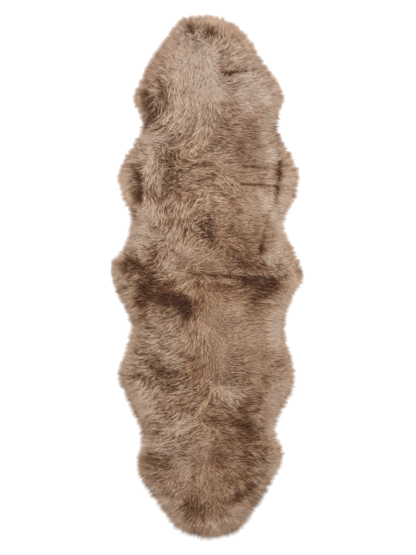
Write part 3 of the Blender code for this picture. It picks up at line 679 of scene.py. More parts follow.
class Nodes:
    """A new material and its node tree, built up one node at a time."""

    def __init__(self, name: str) -> None:
        """Start a material that holds a Principled shader alone."""
        self.material = bpy.data.materials.new(name)
        self.material.use_nodes = True
        self.tree = self.material.node_tree
        self.shader = self.tree.nodes["Principled BSDF"]

    def add(self, kind: str, **settings: object) -> bpy.types.Node:
        """Add a node.

        Args:
            kind: the node's type.
            settings: its properties by name.

        Returns:
            The new node.
        """
        node = self.tree.nodes.new(kind)
        for name, value in settings.items():
            setattr(node, name, value)
        return node

    def link(self, source: Socket, target: Socket) -> None:
        """Link one socket to another."""
        self.tree.links.new(source, target)

    def attribute(self, name: str) -> Socket:
        """Read a number that the mesh stores for each vertex."""
        return self.add("ShaderNodeAttribute", attribute_name=name).outputs["Fac"]

    def noise(self, scale: float, detail: float, vector: Socket | None = None) -> Socket:
        """Add a noise pattern.

        Args:
            scale: repeats in a metre.
            detail: octaves of finer noise.
            vector: coordinates, or the object's own where none are given.

        Returns:
            The socket that gives its value.
        """
        node = self.add("ShaderNodeTexNoise")
        node.inputs["Scale"].default_value = scale
        node.inputs["Detail"].default_value = detail
        self.link(vector or self.add("ShaderNodeTexCoord").outputs["Object"], node.inputs["Vector"])
        return node.outputs["Fac"]

    def ramp(self, value: Socket, *stops: tuple[float, Colour]) -> Socket:
        """Turn a number into a colour.

        Args:
            value: the number, from 0 to 1.
            stops: each place on the ramp and its colour.

        Returns:
            The socket that gives the colour.
        """
        node = self.add("ShaderNodeValToRGB")
        elements = node.color_ramp.elements
        while len(elements) < len(stops):
            elements.new(1.0)
        for element, (place, colour) in zip(elements, stops):
            element.position = place
            element.color = (*colour, 1.0)
        self.link(value, node.inputs["Fac"])
        return node.outputs["Color"]

    def mix(self, factor: Socket | float, first: Socket, second: Socket, blend: str = "MIX") -> Socket:
        """Blend two colours.

        Args:
            factor: how much of the second, as a number or a socket.
            first: the colour below.
            second: the colour above.
            blend: the blend mode.

        Returns:
            The socket that gives the blended colour.
        """
        node = self.add("ShaderNodeMix", data_type="RGBA", blend_type=blend)
        if isinstance(factor, float):
            node.inputs["Factor"].default_value = factor
        else:
            self.link(factor, node.inputs["Factor"])
        self.link(first, node.inputs["A"])
        self.link(second, node.inputs["B"])
        return node.outputs["Result"]

    def remap(self, value: Socket, source: Point, target: Point) -> Socket:
        """Map a number from one range to another, held within it.

        Args:
            value: the number.
            source: its lowest and highest value.
            target: what these become.

        Returns:
            The socket that gives the mapped number.
        """
        node = self.add("ShaderNodeMapRange")
        for name, bound in zip(("From Min", "From Max", "To Min", "To Max"), (*source, *target)):
            node.inputs[name].default_value = bound
        self.link(value, node.inputs["Value"])
        return node.outputs["Result"]

    def bump(self, height: Socket, distance: float, strength: float) -> None:
        """Raise the shader's surface by a pattern.

        Args:
            height: the pattern, from 0 to 1.
            distance: its height in metres.
            strength: the share of it that shows.
        """
        node = self.add("ShaderNodeBump")
        node.inputs["Distance"].default_value = distance
        node.inputs["Strength"].default_value = strength
        self.link(height, node.inputs["Height"])
        self.link(node.outputs["Normal"], self.shader.inputs["Normal"])

    def surface(self, colour: Socket, roughness: float, **sockets: float) -> None:
        """Set the shader's colour and its constant numbers.

        Args:
            colour: the socket that gives the colour.
            roughness: the surface's roughness.
            sockets: other shader sockets, named with _ for each space.
        """
        self.link(colour, self.shader.inputs["Base Color"])
        self.shader.inputs["Roughness"].default_value = roughness
        for name, value in sockets.items():
            self.shader.inputs[name.replace("_", " ")].default_value = value


@dataclass(frozen=True)
class WoolColours:
    """Colours of one shade of wool from the root to the tip."""

    root: Colour
    middle: Colour
    tip: Colour
    places: tuple[float, float, float] = (0.30, 0.70, 0.98)

    def stops(self) -> tuple[tuple[float, Colour], ...]:
        """Place the three colours on a ramp."""
        return tuple(zip(self.places, (self.root, self.middle, self.tip)))


@dataclass(frozen=True)
class WoolFinish:
    """Soft taupe lambswool: dark at its roots, pale at its tips, in grey and brown shades."""

    name: str = "taupe_wool"
    # Each ramp darkens from tip to root: partly the wool's own colour, partly painted shade deep in the
    # pile
    dark: WoolColours = WoolColours(linear(34, 14, 6), linear(72, 36, 17), linear(112, 66, 36))
    medium: WoolColours = WoolColours(linear(92, 51, 25), linear(180, 134, 95), linear(227, 193, 165))
    light: WoolColours = WoolColours(linear(144, 108, 82), linear(220, 194, 169), linear(243, 229, 214))
    grey_tint: Colour = (0.94, 0.99, 1.08)
    brown_tint: Colour = (1.0, 0.88, 0.74)
    fibre_grey: Colour = (0.74, 0.72, 0.70)
    fibre_share: float = 0.8
    fibre_lines: float = 7.0
    fibre_bands: float = 1.2
    fibre_depth: float = 0.0004
    roughness: float = 0.75
    gloss: float = 0.25
    sheen: float = 0.25

    def shade_colour(self, nodes: Nodes, along: Socket) -> Socket:
        """Colour wool by its shade, its warmth and the way along it.

        Args:
            nodes: the material's nodes.
            along: the share of the way from root to tip.

        Returns:
            The socket that gives the colour.
        """
        shade = nodes.attribute("shade")
        dark, medium, light = (nodes.ramp(along, *c.stops()) for c in (self.dark, self.medium, self.light))
        lower = nodes.mix(nodes.remap(shade, (0.0, 0.5), (0.0, 1.0)), dark, medium)
        upper = nodes.mix(nodes.remap(shade, (0.5, 1.0), (0.0, 1.0)), lower, light)
        tints = (0.0, self.grey_tint), (0.5, WHITE), (1.0, self.brown_tint)
        return nodes.mix(1.0, upper, nodes.ramp(nodes.attribute("warmth"), *tints), "MULTIPLY")

    def material(self) -> Material:
        """Make the material of the locks.

        Returns:
            A material that reads the strands' own map, shade and warmth.
        """
        nodes = Nodes(self.name)
        place = nodes.add("ShaderNodeUVMap", uv_map="strand").outputs["UV"]
        split = nodes.add("ShaderNodeSeparateXYZ")
        nodes.link(place, split.inputs["Vector"])
        colour = self.shade_colour(nodes, split.outputs["Y"])
        stretched = nodes.add("ShaderNodeMapping")
        stretched.inputs["Scale"].default_value = (self.fibre_lines, self.fibre_bands, 1.0)
        nodes.link(place, stretched.inputs["Vector"])
        fibres = nodes.noise(1.0, 2.0, stretched.outputs["Vector"])
        grey = nodes.ramp(fibres, (0.25, self.fibre_grey), (0.75, WHITE))
        nodes.bump(fibres, self.fibre_depth, 0.5)
        nodes.surface(
            nodes.mix(self.fibre_share, colour, grey, "MULTIPLY"),
            self.roughness,
            Specular_IOR_Level=self.gloss,
            Sheen_Weight=self.sheen,
            Sheen_Roughness=0.5,
        )
        return nodes.material


@dataclass(frozen=True)
class UndercoatFinish:
    """The dense short wool between the roots of the locks."""

    name: str = "wool_undercoat"
    root_share: float = 0.26
    curl_scale: float = 420.0
    curl_depth: float = 0.003
    roughness: float = 0.9
    gloss: float = 0.15

    def material(self) -> Material:
        """Make the material from the wool's root colours, which are partly its own and partly painted
        shade.
        """
        nodes = Nodes(self.name)
        along = nodes.remap(nodes.noise(self.curl_scale, 3.0), (0.3, 0.7), (0.1, 2 * self.root_share))
        nodes.bump(nodes.noise(self.curl_scale, 4.0), self.curl_depth, 0.8)
        colour = WoolFinish().shade_colour(nodes, along)
        nodes.surface(colour, self.roughness, Specular_IOR_Level=self.gloss)
        return nodes.material


@dataclass(frozen=True)
class SuedeFinish:
    """The napped flesh side of a tanned hide."""

    name: str = "tan_suede"
    shadow: Colour = linear(166, 136, 106)
    plain: Colour = linear(193, 163, 131)
    bloom: Colour = linear(211, 186, 156)
    pore: Colour = (0.80, 0.76, 0.72)
    pore_share: float = 0.7
    cloud_scale: float = 9.0
    nap_scale: float = 900.0
    pore_scale: float = 260.0
    nap_depth: float = 0.0006
    roughness: float = 0.88
    gloss: float = 0.2
    sheen: float = 0.4

    def material(self) -> Material:
        """Make the material from soft clouds of tone, a fine nap and pores."""
        nodes = Nodes(self.name)
        clouds = nodes.ramp(
            nodes.noise(self.cloud_scale, 5.0), (0.3, self.shadow), (0.5, self.plain), (0.72, self.bloom)
        )
        nap = nodes.noise(self.nap_scale, 3.0)
        pores = nodes.noise(self.pore_scale, 6.0)
        speck = nodes.ramp(pores, (0.38, self.pore), (0.52, WHITE))
        both = nodes.add("ShaderNodeMath", operation="ADD")
        nodes.link(nap, both.inputs[0])
        nodes.link(pores, both.inputs[1])
        nodes.bump(nodes.remap(both.outputs["Value"], (0.6, 1.4), (0.0, 1.0)), self.nap_depth, 0.6)
        nodes.surface(
            nodes.mix(self.pore_share, clouds, speck, "MULTIPLY"),
            self.roughness,
            Specular_IOR_Level=self.gloss,
            Sheen_Weight=self.sheen,
            Sheen_Roughness=0.6,
        )
        return nodes.material


@dataclass(frozen=True)
class ThreadFinish:
    """Waxed cotton thread of two strands."""

    name: str = "waxed_thread"
    # Hollow is painted shade in the groove between the two strands
    hollow: Colour = linear(150, 130, 104)
    crown: Colour = linear(222, 206, 180)
    twist_scale: float = 900.0
    twist_depth: float = 0.00012
    roughness: float = 0.6

    def material(self) -> Material:
        """Make the material from slanting bands, as the strands twist, with painted shade in the grooves
        between them.
        """
        nodes = Nodes(self.name)
        wave = nodes.add("ShaderNodeTexWave", wave_type="BANDS", bands_direction="DIAGONAL")
        wave.inputs["Scale"].default_value = self.twist_scale
        nodes.link(nodes.add("ShaderNodeTexCoord").outputs["Object"], wave.inputs["Vector"])
        nodes.bump(wave.outputs["Fac"], self.twist_depth, 0.8)
        colour = nodes.ramp(wave.outputs["Fac"], (0.1, self.hollow), (0.7, self.crown))
        nodes.surface(colour, self.roughness)
        return nodes.material


@dataclass(frozen=True)
class FloorFinish:
    """A plain white studio floor."""

    name: str = "studio_white"
    colour: Colour = (0.93, 0.93, 0.93)
    cloud: Colour = (0.92, 0.92, 0.92)
    cloud_scale: float = 2.0
    roughness: float = 0.9

    def material(self) -> Material:
        """Make the even white material."""
        nodes = Nodes(self.name)
        clouds = nodes.ramp(nodes.noise(self.cloud_scale, 1.0), (0.4, self.colour), (0.6, self.cloud))
        nodes.surface(clouds, self.roughness)
        return nodes.material


class SmoothNoise:
    """Seeded noise that changes smoothly over the rug, from -1 to 1."""

    CELLS = 97

    def __init__(self, seed: Seed, spacing: float) -> None:
        """Draw the lattice.

        Args:
            seed: the draw's seed.
            spacing: metres between lattice points.
        """
        self.spacing = spacing
        self.lattice = np.random.default_rng(seed).uniform(-1.0, 1.0, (self.CELLS, self.CELLS))

    def at(self, points: Array) -> Array:
        """Read the noise at rows of x and y."""
        place = points / self.spacing
        cell = np.floor(place).astype(int)
        share = place - cell
        share = share * share * (3 - 2 * share)
        return blend_cells(self.lattice, cell % self.CELLS, (cell + 1) % self.CELLS, share)


@dataclass
class RugMap:
    """The rug from above, read from the model: the wool's height and how far in a place lies."""

    step: float = 0.004
    margin: float = 0.060
    seam_zone: float = 0.0015
    merge: float = 1e-6
    level: float = 0.99
    ray_start: float = 1.0
    outward_blurs: int = 14
    height_blurs: int = 2
    hollow_blurs: int = 56

    def __post_init__(self) -> None:
        """Measure the model's nodes on a grid that has no row on the seam."""
        low, high = cad_box
        half = [max(abs(low[axis]), abs(high[axis])) + self.margin for axis in (0, 1)]
        counts = [math.ceil(value / self.step) for value in half]
        xs, ys = ((np.arange(-count, count) + 0.5) * self.step for count in counts)
        self.origin = np.array([xs[0], ys[0]])
        self.cells = np.array([len(xs), len(ys)])
        grid_x, grid_y = np.meshgrid(xs, ys)
        points = np.column_stack([grid_x.ravel(), grid_y.ravel()])
        self.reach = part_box("upper_fleece")[1].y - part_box("upper_hide")[1].y
        inset = self.signed_distance(points).reshape(grid_x.shape)
        blurred = self.blurred(inset, self.outward_blurs)
        slope_y, slope_x = np.gradient(-blurred, self.step)
        height = self.heights(points, inset.ravel()).reshape(grid_x.shape)
        height = self.blurred(height, self.height_blurs)
        hollow = self.blurred(height, self.hollow_blurs) - height
        self.layers = np.stack([inset, slope_x, slope_y, height, hollow], axis=-1)

    @staticmethod
    def blurred(values: Array, passes: int) -> Array:
        """Blur a grid by averaging each cell with its neighbours.

        Args:
            values: the grid.
            passes: how often.

        Returns:
            The blurred grid.
        """
        for _ in range(passes):
            for axis in (0, 1):
                before = np.roll(values, 1, axis)
                after = np.roll(values, -1, axis)
                values = (before + 2 * values + after) / 4
        return values

    def edge_segments(self) -> list[tuple[Point, Point]]:
        """Find the hides' outer edges, without the seam.

        Returns:
            Both ends of each straight stretch.
        """
        found = []
        for side in Side:
            mesh = bmesh.new()
            mesh.from_mesh(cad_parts[f"{side.label}_hide"].data)
            bmesh.ops.remove_doubles(mesh, verts=mesh.verts, dist=self.merge)
            mesh.normal_update()
            under = {face for face in mesh.faces if face.normal.z < -self.level}
            for edge in mesh.edges:
                ends = [vertex.co for vertex in edge.verts]
                on_seam = all(abs(end.y) < self.seam_zone for end in ends)
                if not on_seam and len(under.intersection(edge.link_faces)) == 1:
                    found.append(tuple((end.x, end.y) for end in ends))
            mesh.free()
        return found

    def signed_distance(self, points: Array) -> Array:
        """Measure how far inside the hides' outer edge each point lies, negative outside."""
        distance = np.full(len(points), np.inf)
        for start, end in self.edge_segments():
            distance = np.minimum(distance, line_distances(points, start, end))
        covered = np.zeros(len(points), bool)
        for side in Side:
            covered |= self.hits(f"{side.label}_hide", points) > 0
        return np.where(covered, distance, -distance)

    def hits(self, node: str, points: Array) -> Array:
        """Find the height at which a vertical line meets a node.

        Args:
            node: the node's name.
            points: rows of x and y.

        Returns:
            The height at each point, and 0 where there is nothing.
        """
        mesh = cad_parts[node].data
        tree = BVHTree.FromPolygons([v.co for v in mesh.vertices], [p.vertices for p in mesh.polygons])
        down = Vector((0.0, 0.0, -1.0))
        found = (tree.ray_cast(Vector((x, y, self.ray_start)), down)[0] for x, y in points)
        return np.array([0.0 if hit is None else hit.z for hit in found])

    def heights(self, points: Array, inset: Array) -> Array:
        """Read the pile's height from the fleeces, and let it fall to the floor past their wall."""
        over = np.maximum(*(self.hits(f"{side.label}_fleece", points) for side in Side))
        past = np.interp(-inset / self.reach, RIM_SHARES, RIM_HEIGHTS)
        return np.where(-inset > RIM_SHARES[0] * self.reach, past, np.maximum(over, past))

    def at(self, points: Array) -> tuple[Array, Array, Array, Array]:
        """Read the map at some points.

        Args:
            points: rows of x and y.

        Returns:
            The distance inside the hides' edge, the unit heading out of the rug, the wool's height
            and how far it lies below the wool around it.
        """
        place = (points - self.origin) / self.step
        cell = np.clip(np.floor(place).astype(int), 0, self.cells - 2)
        share = np.clip(place - cell, 0.0, 1.0)[..., None]
        found = blend_cells(self.layers, cell, cell + 1, share)
        outward = found[:, 1:3] / np.maximum(np.linalg.norm(found[:, 1:3], axis=1, keepdims=True), 1e-9)
        return found[:, 0], outward, found[:, 3], found[:, 4]


@dataclass
class Lay:
    """How the wool lies: its heading, how flat it lies and how tangled it is."""

    base_pull: float = 0.12
    rim_pull: float = 2.5
    rim_start: float = 0.050
    rim_full: float = 0.004
    wide_turn: float = 0.45
    wide_spacing: float = 0.055
    near_turn: float = 0.30
    near_spacing: float = 0.020
    rim_calm: float = 0.6
    nap_calm: float = 0.45
    streak_width: float = 0.0025
    streak_step: float = 0.0026
    streak_steps: int = 5
    light_gain: float = 1.6
    dark_gain: float = 1.2
    stand_range: Point = (-0.3, 0.8)
    calm_range: Point = (-1.0, 0.9)
    shade_range: Point = (-1.2, 1.4)

    def headings(self, points: Array, inset: Array, outward: Array) -> Array:
        """Work out the way that the wool's tips point.

        Args:
            points: rows of x and y.
            inset: how far each lies inside the hides' edge.
            outward: the unit heading out of the rug.

        Returns:
            A heading for each point, in radians from +X.
        """
        rim = smooth_step(inset, self.rim_start, self.rim_full)
        total = outward * (self.base_pull + self.rim_pull * rim)[:, None]
        for stroke in COMB:
            along = np.subtract(stroke.end, stroke.start)
            total += stroke.near(points)[:, None] * along / np.linalg.norm(along)
        for whorl in WHORLS:
            away = points - np.array(whorl.centre)
            distance = np.maximum(np.linalg.norm(away, axis=1), 1e-6)
            weight = whorl.pull * np.exp(-((distance / whorl.radius) ** 2)) / distance
            turn = math.radians(whorl.turn)
            turned = np.column_stack(
                [
                    away[:, 0] * math.cos(turn) - away[:, 1] * math.sin(turn),
                    away[:, 0] * math.sin(turn) + away[:, 1] * math.cos(turn),
                ]
            )
            total += weight[:, None] * turned
        calm = (1 - self.rim_calm * rim) * (1 - self.nap_calm * np.maximum(self.naps(points)[1], 0.0))
        swing = self.wide_turn * SmoothNoise(Seed.WIDE_TURN, self.wide_spacing).at(points)
        swing += self.near_turn * SmoothNoise(Seed.NEAR_TURN, self.near_spacing).at(points)
        return np.arctan2(total[:, 1], total[:, 0]) + swing * calm

    @staticmethod
    def whorl_values(points: Array) -> tuple[Array, Array]:
        """Read how flat and how tangled the wool lies near each whorl.

        Args:
            points: rows of x and y.

        Returns:
            The share of its length that a lock lies over, and its spread of heading in radians.
        """
        flat = np.ones(len(points))
        tangle = np.zeros(len(points))
        for whorl in WHORLS:
            away = np.linalg.norm(points - np.array(whorl.centre), axis=1)
            near = np.exp(-((away / whorl.radius) ** 2))
            flat -= (1 - whorl.flat) * near
            tangle += whorl.tangle * near
        return flat, tangle

    def naps(self, points: Array) -> tuple[Array, Array]:
        """Read the charted nap.

        Args:
            points: rows of x and y.

        Returns:
            How far the wool stands up, negative where it lies longer, and how calm it is.
        """
        stand = np.zeros(len(points))
        calm = np.zeros(len(points))
        for nap in NAPS:
            near = nap.near(points)
            stand += nap.stand * near
            calm += nap.calm * near
        return np.clip(stand, *self.stand_range), np.clip(calm, *self.calm_range)

    def streaks(self, points: Array, rug: RugMap) -> Array:
        """Draw noise that runs in streaks the way the wool lies.

        Args:
            points: rows of x and y.
            rug: the rug's map.

        Returns:
            Numbers about 0 with a spread of 1.
        """
        fine = SmoothNoise(Seed.STREAKS, self.streak_width)
        total = fine.at(points)
        for way in (-1, 1):
            place = points.copy()
            for _ in range(self.streak_steps):
                heading = self.headings(place, *rug.at(place)[:2])
                place += way * self.streak_step * unit(heading)
                total += fine.at(place)
        return total / np.std(total)

    def tones(self, points: Array) -> tuple[Array, Array]:
        """Read the charted shade and warmth.

        Args:
            points: rows of x and y.

        Returns:
            The shade and the warmth at each point, both about 0 where nothing is charted.
        """
        shade = np.zeros(len(points))
        warmth = np.zeros(len(points))
        for tone in TONES:
            near = tone.near(points)
            shade += tone.shade * near * (self.light_gain if tone.shade > 0 else self.dark_gain)
            warmth += tone.warmth * near
        return np.clip(shade, *self.shade_range), warmth


@dataclass(frozen=True)
class LockLayer:
    """One layer of locks.

    Tips are spaced evenly and thin out between two distances inside the hide's edge, negative
    outside it. Roots lie deeper than the pile's surface, and drop says how far the tips do. Gather
    is the share of a lock's width that it loses towards its tip. Width is one fibre's own.
    """

    spacing: float
    innermost: float
    thin_from: float
    thin_to: float
    reach: float
    depth: float
    drop: float
    fibres: int
    gather: float
    width: float


LAYERS = (
    LockLayer(
        spacing=0.0050, innermost=1.000, thin_from=-0.018, thin_to=-0.058, reach=0.022,
        depth=0.016, drop=0.0000, fibres=6, gather=0.80, width=0.0011,
    ),
    LockLayer(
        spacing=0.0047, innermost=0.000, thin_from=-0.018, thin_to=-0.054, reach=0.026,
        depth=0.006, drop=0.0045, fibres=5, gather=0.20, width=0.0010,
    ),
    LockLayer(
        spacing=0.0042, innermost=-0.020, thin_from=-0.026, thin_to=-0.068, reach=0.026,
        depth=0.006, drop=0.0030, fibres=2, gather=0.00, width=0.0008,
    ),
)

# The places along a fibre at which it has a pair of points, the width there, and its tip
STATIONS = np.array([0.0, 0.5, 1.0])
STATION_WIDTHS = np.array([0.90, 1.00])


# A fibre's pattern starts at one of some places, so that no two neighbours look the same
PATTERN_PLACES = 97
PATTERN_STEP = 1.7


@dataclass
class Locks:
    """The locks of one layer: where each one's tip is, how it lies and which shade it has."""

    tips: Array
    heading: Array
    turn: Array
    reach: Array
    tangle: Array
    calm: Array
    rim: Array
    phase: Array
    own: Array


@dataclass
class Wool:
    """The long wool of both pelts: tapered fibres that gather in curved locks."""

    rug: RugMap
    lay: Lay
    random: np.random.Generator = field(default_factory=lambda: np.random.default_rng(Seed.FIBRES))
    # Where the locks' tips stand
    tip_jitter: float = 0.28
    rim_wander: float = 0.0016
    wide_wander: float = 0.030
    near_wander: float = 0.010
    near_wander_share: float = 0.5
    past_neck: float = 0.020
    neck_length: float = 0.005
    neck_zone: Point = (0.64, 0.74)
    # How long the locks are and how they turn
    length_change: float = 0.22
    length_spacing: float = 0.013
    curl: float = 0.75
    curl_spacing: float = 0.024
    bend_place: float = 0.6
    most_turn: float = 0.7
    stray_turn: float = 0.20
    stray_heading: float = 0.17
    calm_evenness: float = 0.7
    # How the fibres of a lock spread and gather
    lock_radius: float = 0.0031
    fibre_heading: float = 0.08
    fibre_length: float = 0.10
    stray_curl: float = 0.25
    root_stride: float = 0.55
    stride_gain: float = 0.45
    tip_scatter: float = 0.0026
    calm_gather: float = 0.6
    gather_power: float = 1.3
    wave: float = 0.0014
    wave_half_turns: float = 2.6
    tangle_wave: float = 2.0
    width_change: float = 0.20
    roll: float = 0.8
    # How high they stand in the pile
    lift: float = 0.0026
    stray_lift: float = 0.0008
    lock_crown: float = 0.0016
    arch: float = 0.0015
    sink_power: float = 1.8
    full_height: float = 0.030
    least_depth: float = 0.15
    floor_clearance: float = 0.0006
    floor_scatter: float = 0.0006
    # What changes at the rug's rim
    rim_zone: Point = (0.015, -0.020)
    rim_spread: float = 0.7
    rim_scatter: float = 0.0070
    rim_thinning: float = 0.45
    rim_overlap: float = 0.004
    root_edge: float = -0.006
    # How they are shaded
    streak_share: float = 0.8
    tone_place: float = 0.85
    base_shade: float = -0.12
    tuft_shade: float = 0.54
    own_patch: float = 0.5
    own_patch_spacing: float = 0.011
    # Painted shade: a lock's outer fibres are darker, so that it looks rounded
    painted_side_shade: float = 0.70
    fibre_shade: float = 0.65
    even_share: float = 0.6
    dark_calm: float = 0.5
    # Painted shade in the pile's hollows, by how far they lie below the wool around them
    painted_hollow_shade: float = 55.0
    # Painted light: fibres at the rim are lighter, as thin wool shows light through it against the white
    # floor
    rim_painted_light: float = 0.50
    rim_calm: float = 0.4
    rim_painted_light_zone: Point = (0.000, -0.038)
    warmth_change: float = 0.15

    def tips(self, layer: LockLayer) -> Array:
        """Spread the tips of one layer's locks over the rug.

        Args:
            layer: the kind of lock.

        Returns:
            Rows of x and y.
        """
        low, high = cad_box
        row_step = layer.spacing * ROW_SHARE
        ends = (low.y - self.past_neck) / row_step, (high.y + self.past_neck) / row_step
        rows = np.arange(math.floor(ends[0]), math.ceil(ends[1]) + 1)
        columns = np.arange(math.floor(low.x / layer.spacing), math.ceil(high.x / layer.spacing) + 1)
        row, column = (grid.ravel() for grid in np.meshgrid(rows, columns, indexing="ij"))
        points = np.column_stack([(column + 0.5 * (row % 2)) * layer.spacing, row * row_step])
        points += self.random.normal(0.0, self.tip_jitter * layer.spacing, points.shape)
        inset = self.rug.at(points)[0]
        near = SmoothNoise(Seed.NEAR_WANDER, self.near_wander).at(points)
        wander = SmoothNoise(Seed.WIDE_WANDER, self.wide_wander).at(points) + self.near_wander_share * near
        longer = self.neck_length * smooth_step(points[:, 1], *self.neck_zone)
        chance = smooth_step(inset + self.rim_wander * wander + longer, layer.thin_to, layer.thin_from)
        return points[(inset < layer.innermost) & (self.random.uniform(0.0, 1.0, len(points)) < chance)]

    def locks(self, layer: LockLayer, tips: Array) -> Locks:
        """Work out how each lock of one layer lies.

        Args:
            layer: the kind of lock.
            tips: rows of x and y, one for each lock.

        Returns:
            The layer's locks.
        """
        count = len(tips)
        flat, tangle = self.lay.whorl_values(tips)
        inset, outward = self.rug.at(tips)[:2]
        heading = self.lay.headings(tips, inset, outward)
        stand, calm = self.lay.naps(tips)
        rim = smooth_step(inset, *self.rim_zone)
        longer = self.length_change * SmoothNoise(Seed.LENGTH, self.length_spacing).at(tips)
        reach = layer.reach * (1 + longer)
        reach *= flat * (1 - stand) * (1 - rim)
        reach += rim * (self.root_edge + self.rim_overlap - np.minimum(inset, self.rim_zone[1]))
        middle = tips - self.bend_place * reach[:, None] * unit(heading)
        turn = heading - self.lay.headings(middle, *self.rug.at(middle)[:2])
        turn = np.clip((turn + math.pi) % (2 * math.pi) - math.pi, -self.most_turn, self.most_turn)
        even = 1 - self.calm_evenness * np.maximum(calm, 0.0)
        curl = self.curl * even * SmoothNoise(Seed.CURL, self.curl_spacing).at(tips)
        turn += curl + self.stray_turn * self.random.normal(0.0, 1.0, count)
        heading += (self.stray_heading * even + tangle) * self.random.normal(0.0, 1.0, count)
        phase = self.random.uniform(0.0, 2 * math.pi, count)
        own = self.streak_share * self.lay.streaks(tips, self.rug)
        own += math.sqrt(1 - self.streak_share**2) * np.clip(self.random.normal(0.0, 1.0, count), *HELD)
        return Locks(tips, heading, turn, reach, tangle, calm, rim, phase, own)

    def plan(self, layer: LockLayer, locks: Locks, lock: Array) -> tuple[Array, Array]:
        """Lay every fibre of one layer as seen from above, back from its tip to its root.

        Args:
            layer: the kind of lock.
            locks: the layer's locks.
            lock: each fibre's lock.

        Returns:
            X and y by fibre, station and axis, and how far each fibre stands from its lock's
            middle, as a share.
        """
        fibres = len(lock)
        around = self.random.uniform(0.0, 2 * math.pi, fibres)
        away = np.sqrt(self.random.uniform(0.0, 1.0, fibres))
        offset = self.lock_radius * away[:, None] * unit(around)
        angle = locks.heading[lock] + self.fibre_heading * self.random.normal(0.0, 1.0, fibres)
        bend = locks.turn[lock] + self.stray_curl * self.random.normal(0.0, 1.0, fibres)
        reach = locks.reach[lock] * (1 + self.fibre_length * self.random.normal(0.0, 1.0, fibres))
        middles = (STATIONS[:-1] + STATIONS[1:]) / 2
        angles = angle[:, None] - bend[:, None] * (1 - middles)
        strides = reach[:, None] * np.diff(STATIONS) * (self.root_stride + self.stride_gain * middles)
        strides /= self.root_stride + self.stride_gain / 2
        moves = unit(angles) * strides[..., None]
        plan = np.concatenate([np.zeros((fibres, 1, 2)), np.cumsum(moves, axis=1)], axis=1)
        plan += (locks.tips[lock] - plan[:, -1])[:, None, :]
        scatter = self.tip_scatter + (self.rim_scatter - self.tip_scatter) * locks.rim[lock]
        scatter *= np.clip(self.random.normal(0.0, 1.0, fibres), *HELD)
        plan += moves[:, -1:] * (scatter / strides[:, -1])[:, None, None]
        gather = layer.gather * (1 - self.calm_gather * locks.calm) - self.rim_spread * locks.rim
        plan += offset[:, None, :] * (1 - gather[lock][:, None] * STATIONS**self.gather_power)[..., None]
        across = np.stack([-np.sin(angle), np.cos(angle)], axis=-1)
        waves = (self.wave * (1 + self.tangle_wave * locks.tangle[lock]))[:, None] * STATIONS
        phase = locks.phase[lock][:, None]
        waves = waves * np.sin(self.wave_half_turns * math.pi * STATIONS[None, :] + phase)
        plan += across[:, None, :] * waves[..., None]
        inset, outward = self.rug.at(plan[:, 0])[:2]
        inward = np.minimum(inset - self.root_edge, 0.0)
        plan += (outward * inward[:, None])[:, None, :] * (1 - STATIONS)[None, :, None]
        return plan, away

    def paths(self, layer: LockLayer, tips: Array) -> tuple[Array, Array, Array, Array]:
        """Lay every fibre of one layer and raise it to its height in the pile.

        Args:
            layer: the kind of lock.
            tips: rows of x and y, one for each lock.

        Returns:
            The fibres' points by fibre, station and axis, and the width, shade and warmth of each.
        """
        locks = self.locks(layer, tips)
        lock = np.repeat(np.arange(len(tips)), layer.fibres)
        fibres = len(lock)
        plan, away = self.plan(layer, locks, lock)
        height = self.rug.at(plan.reshape(-1, 2))[2].reshape(fibres, len(STATIONS))
        sink = layer.depth * (1 - STATIONS) ** self.sink_power - self.arch * np.sin(math.pi * STATIONS)
        sink = sink + layer.drop + self.lock_crown * away[:, None] ** 2 * STATIONS
        rise = (self.lift * (1 - np.maximum(locks.calm, 0.0)) * np.clip(locks.own, *HELD))[lock]
        rise += self.stray_lift * self.random.normal(0.0, 1.0, fibres)
        depth = np.clip(height / self.full_height, self.least_depth, 1.0)
        z = height + (rise[:, None] * STATIONS - sink) * depth
        floor = self.floor_scatter * self.random.uniform(0.0, 1.0, fibres)[:, None]
        z = np.maximum(z, self.floor_clearance + floor)
        shade, warmth = self.fibre_tones(plan, locks, lock, away)
        width = layer.width * (1 - self.rim_thinning * locks.rim[lock])
        width *= 1 + self.width_change * self.random.normal(0.0, 1.0, fibres)
        return np.concatenate([plan, z[..., None]], axis=-1), width, shade, warmth

    def fibre_tones(self, plan: Array, locks: Locks, lock: Array, away: Array) -> tuple[Array, Array]:
        """Shade the fibres by the chart, their own lock, painted shade in hollows and at each lock's
        sides, and painted light at the rim.

        Args:
            plan: x and y by fibre, station and axis.
            locks: the layer's locks.
            lock: each fibre's lock.
            away: how far each fibre stands from its lock's middle, as a share.

        Returns:
            The shade and warmth of each fibre.
        """
        share = (self.tone_place - STATIONS[-2]) / (STATIONS[-1] - STATIONS[-2])
        place = plan[:, -2] * (1 - share) + plan[:, -1] * share
        shade, warmth = self.lay.tones(place)
        inset, _, _, hollow = self.rug.at(place)
        patches = SmoothNoise(Seed.OWN_SHADE, self.own_patch_spacing).at(place)
        own = locks.own[lock] + self.own_patch * patches
        rim = smooth_step(inset, *self.rim_painted_light_zone)
        dark = self.dark_calm * np.clip(-shade, 0.0, 1.0)
        unevenness = (1 - locks.calm[lock]) * (1 - dark) * (1 - self.rim_calm * rim)
        shade += self.base_shade + self.tuft_shade * own * unevenness
        # Painted light at the rim, for thin fibres against the white floor
        shade += self.rim_painted_light * rim
        # Painted shade: a lock's outer fibres are darker than its middle ones
        # The square of how far a fibre stands away is spread evenly, so its middle is 0.5
        side = self.painted_side_shade * unevenness * (away**2 - 0.5)
        # Painted shade: fibres in the pile's hollows are darker
        shade -= self.painted_hollow_shade * np.maximum(hollow, 0.0) + side
        spread = self.even_share + (1 - self.even_share) * unevenness
        shade += self.fibre_shade * spread * self.random.normal(0.0, 1.0, len(lock))
        return shade, warmth + self.warmth_change * self.random.normal(0.0, 1.0, lock[-1] + 1)[lock]

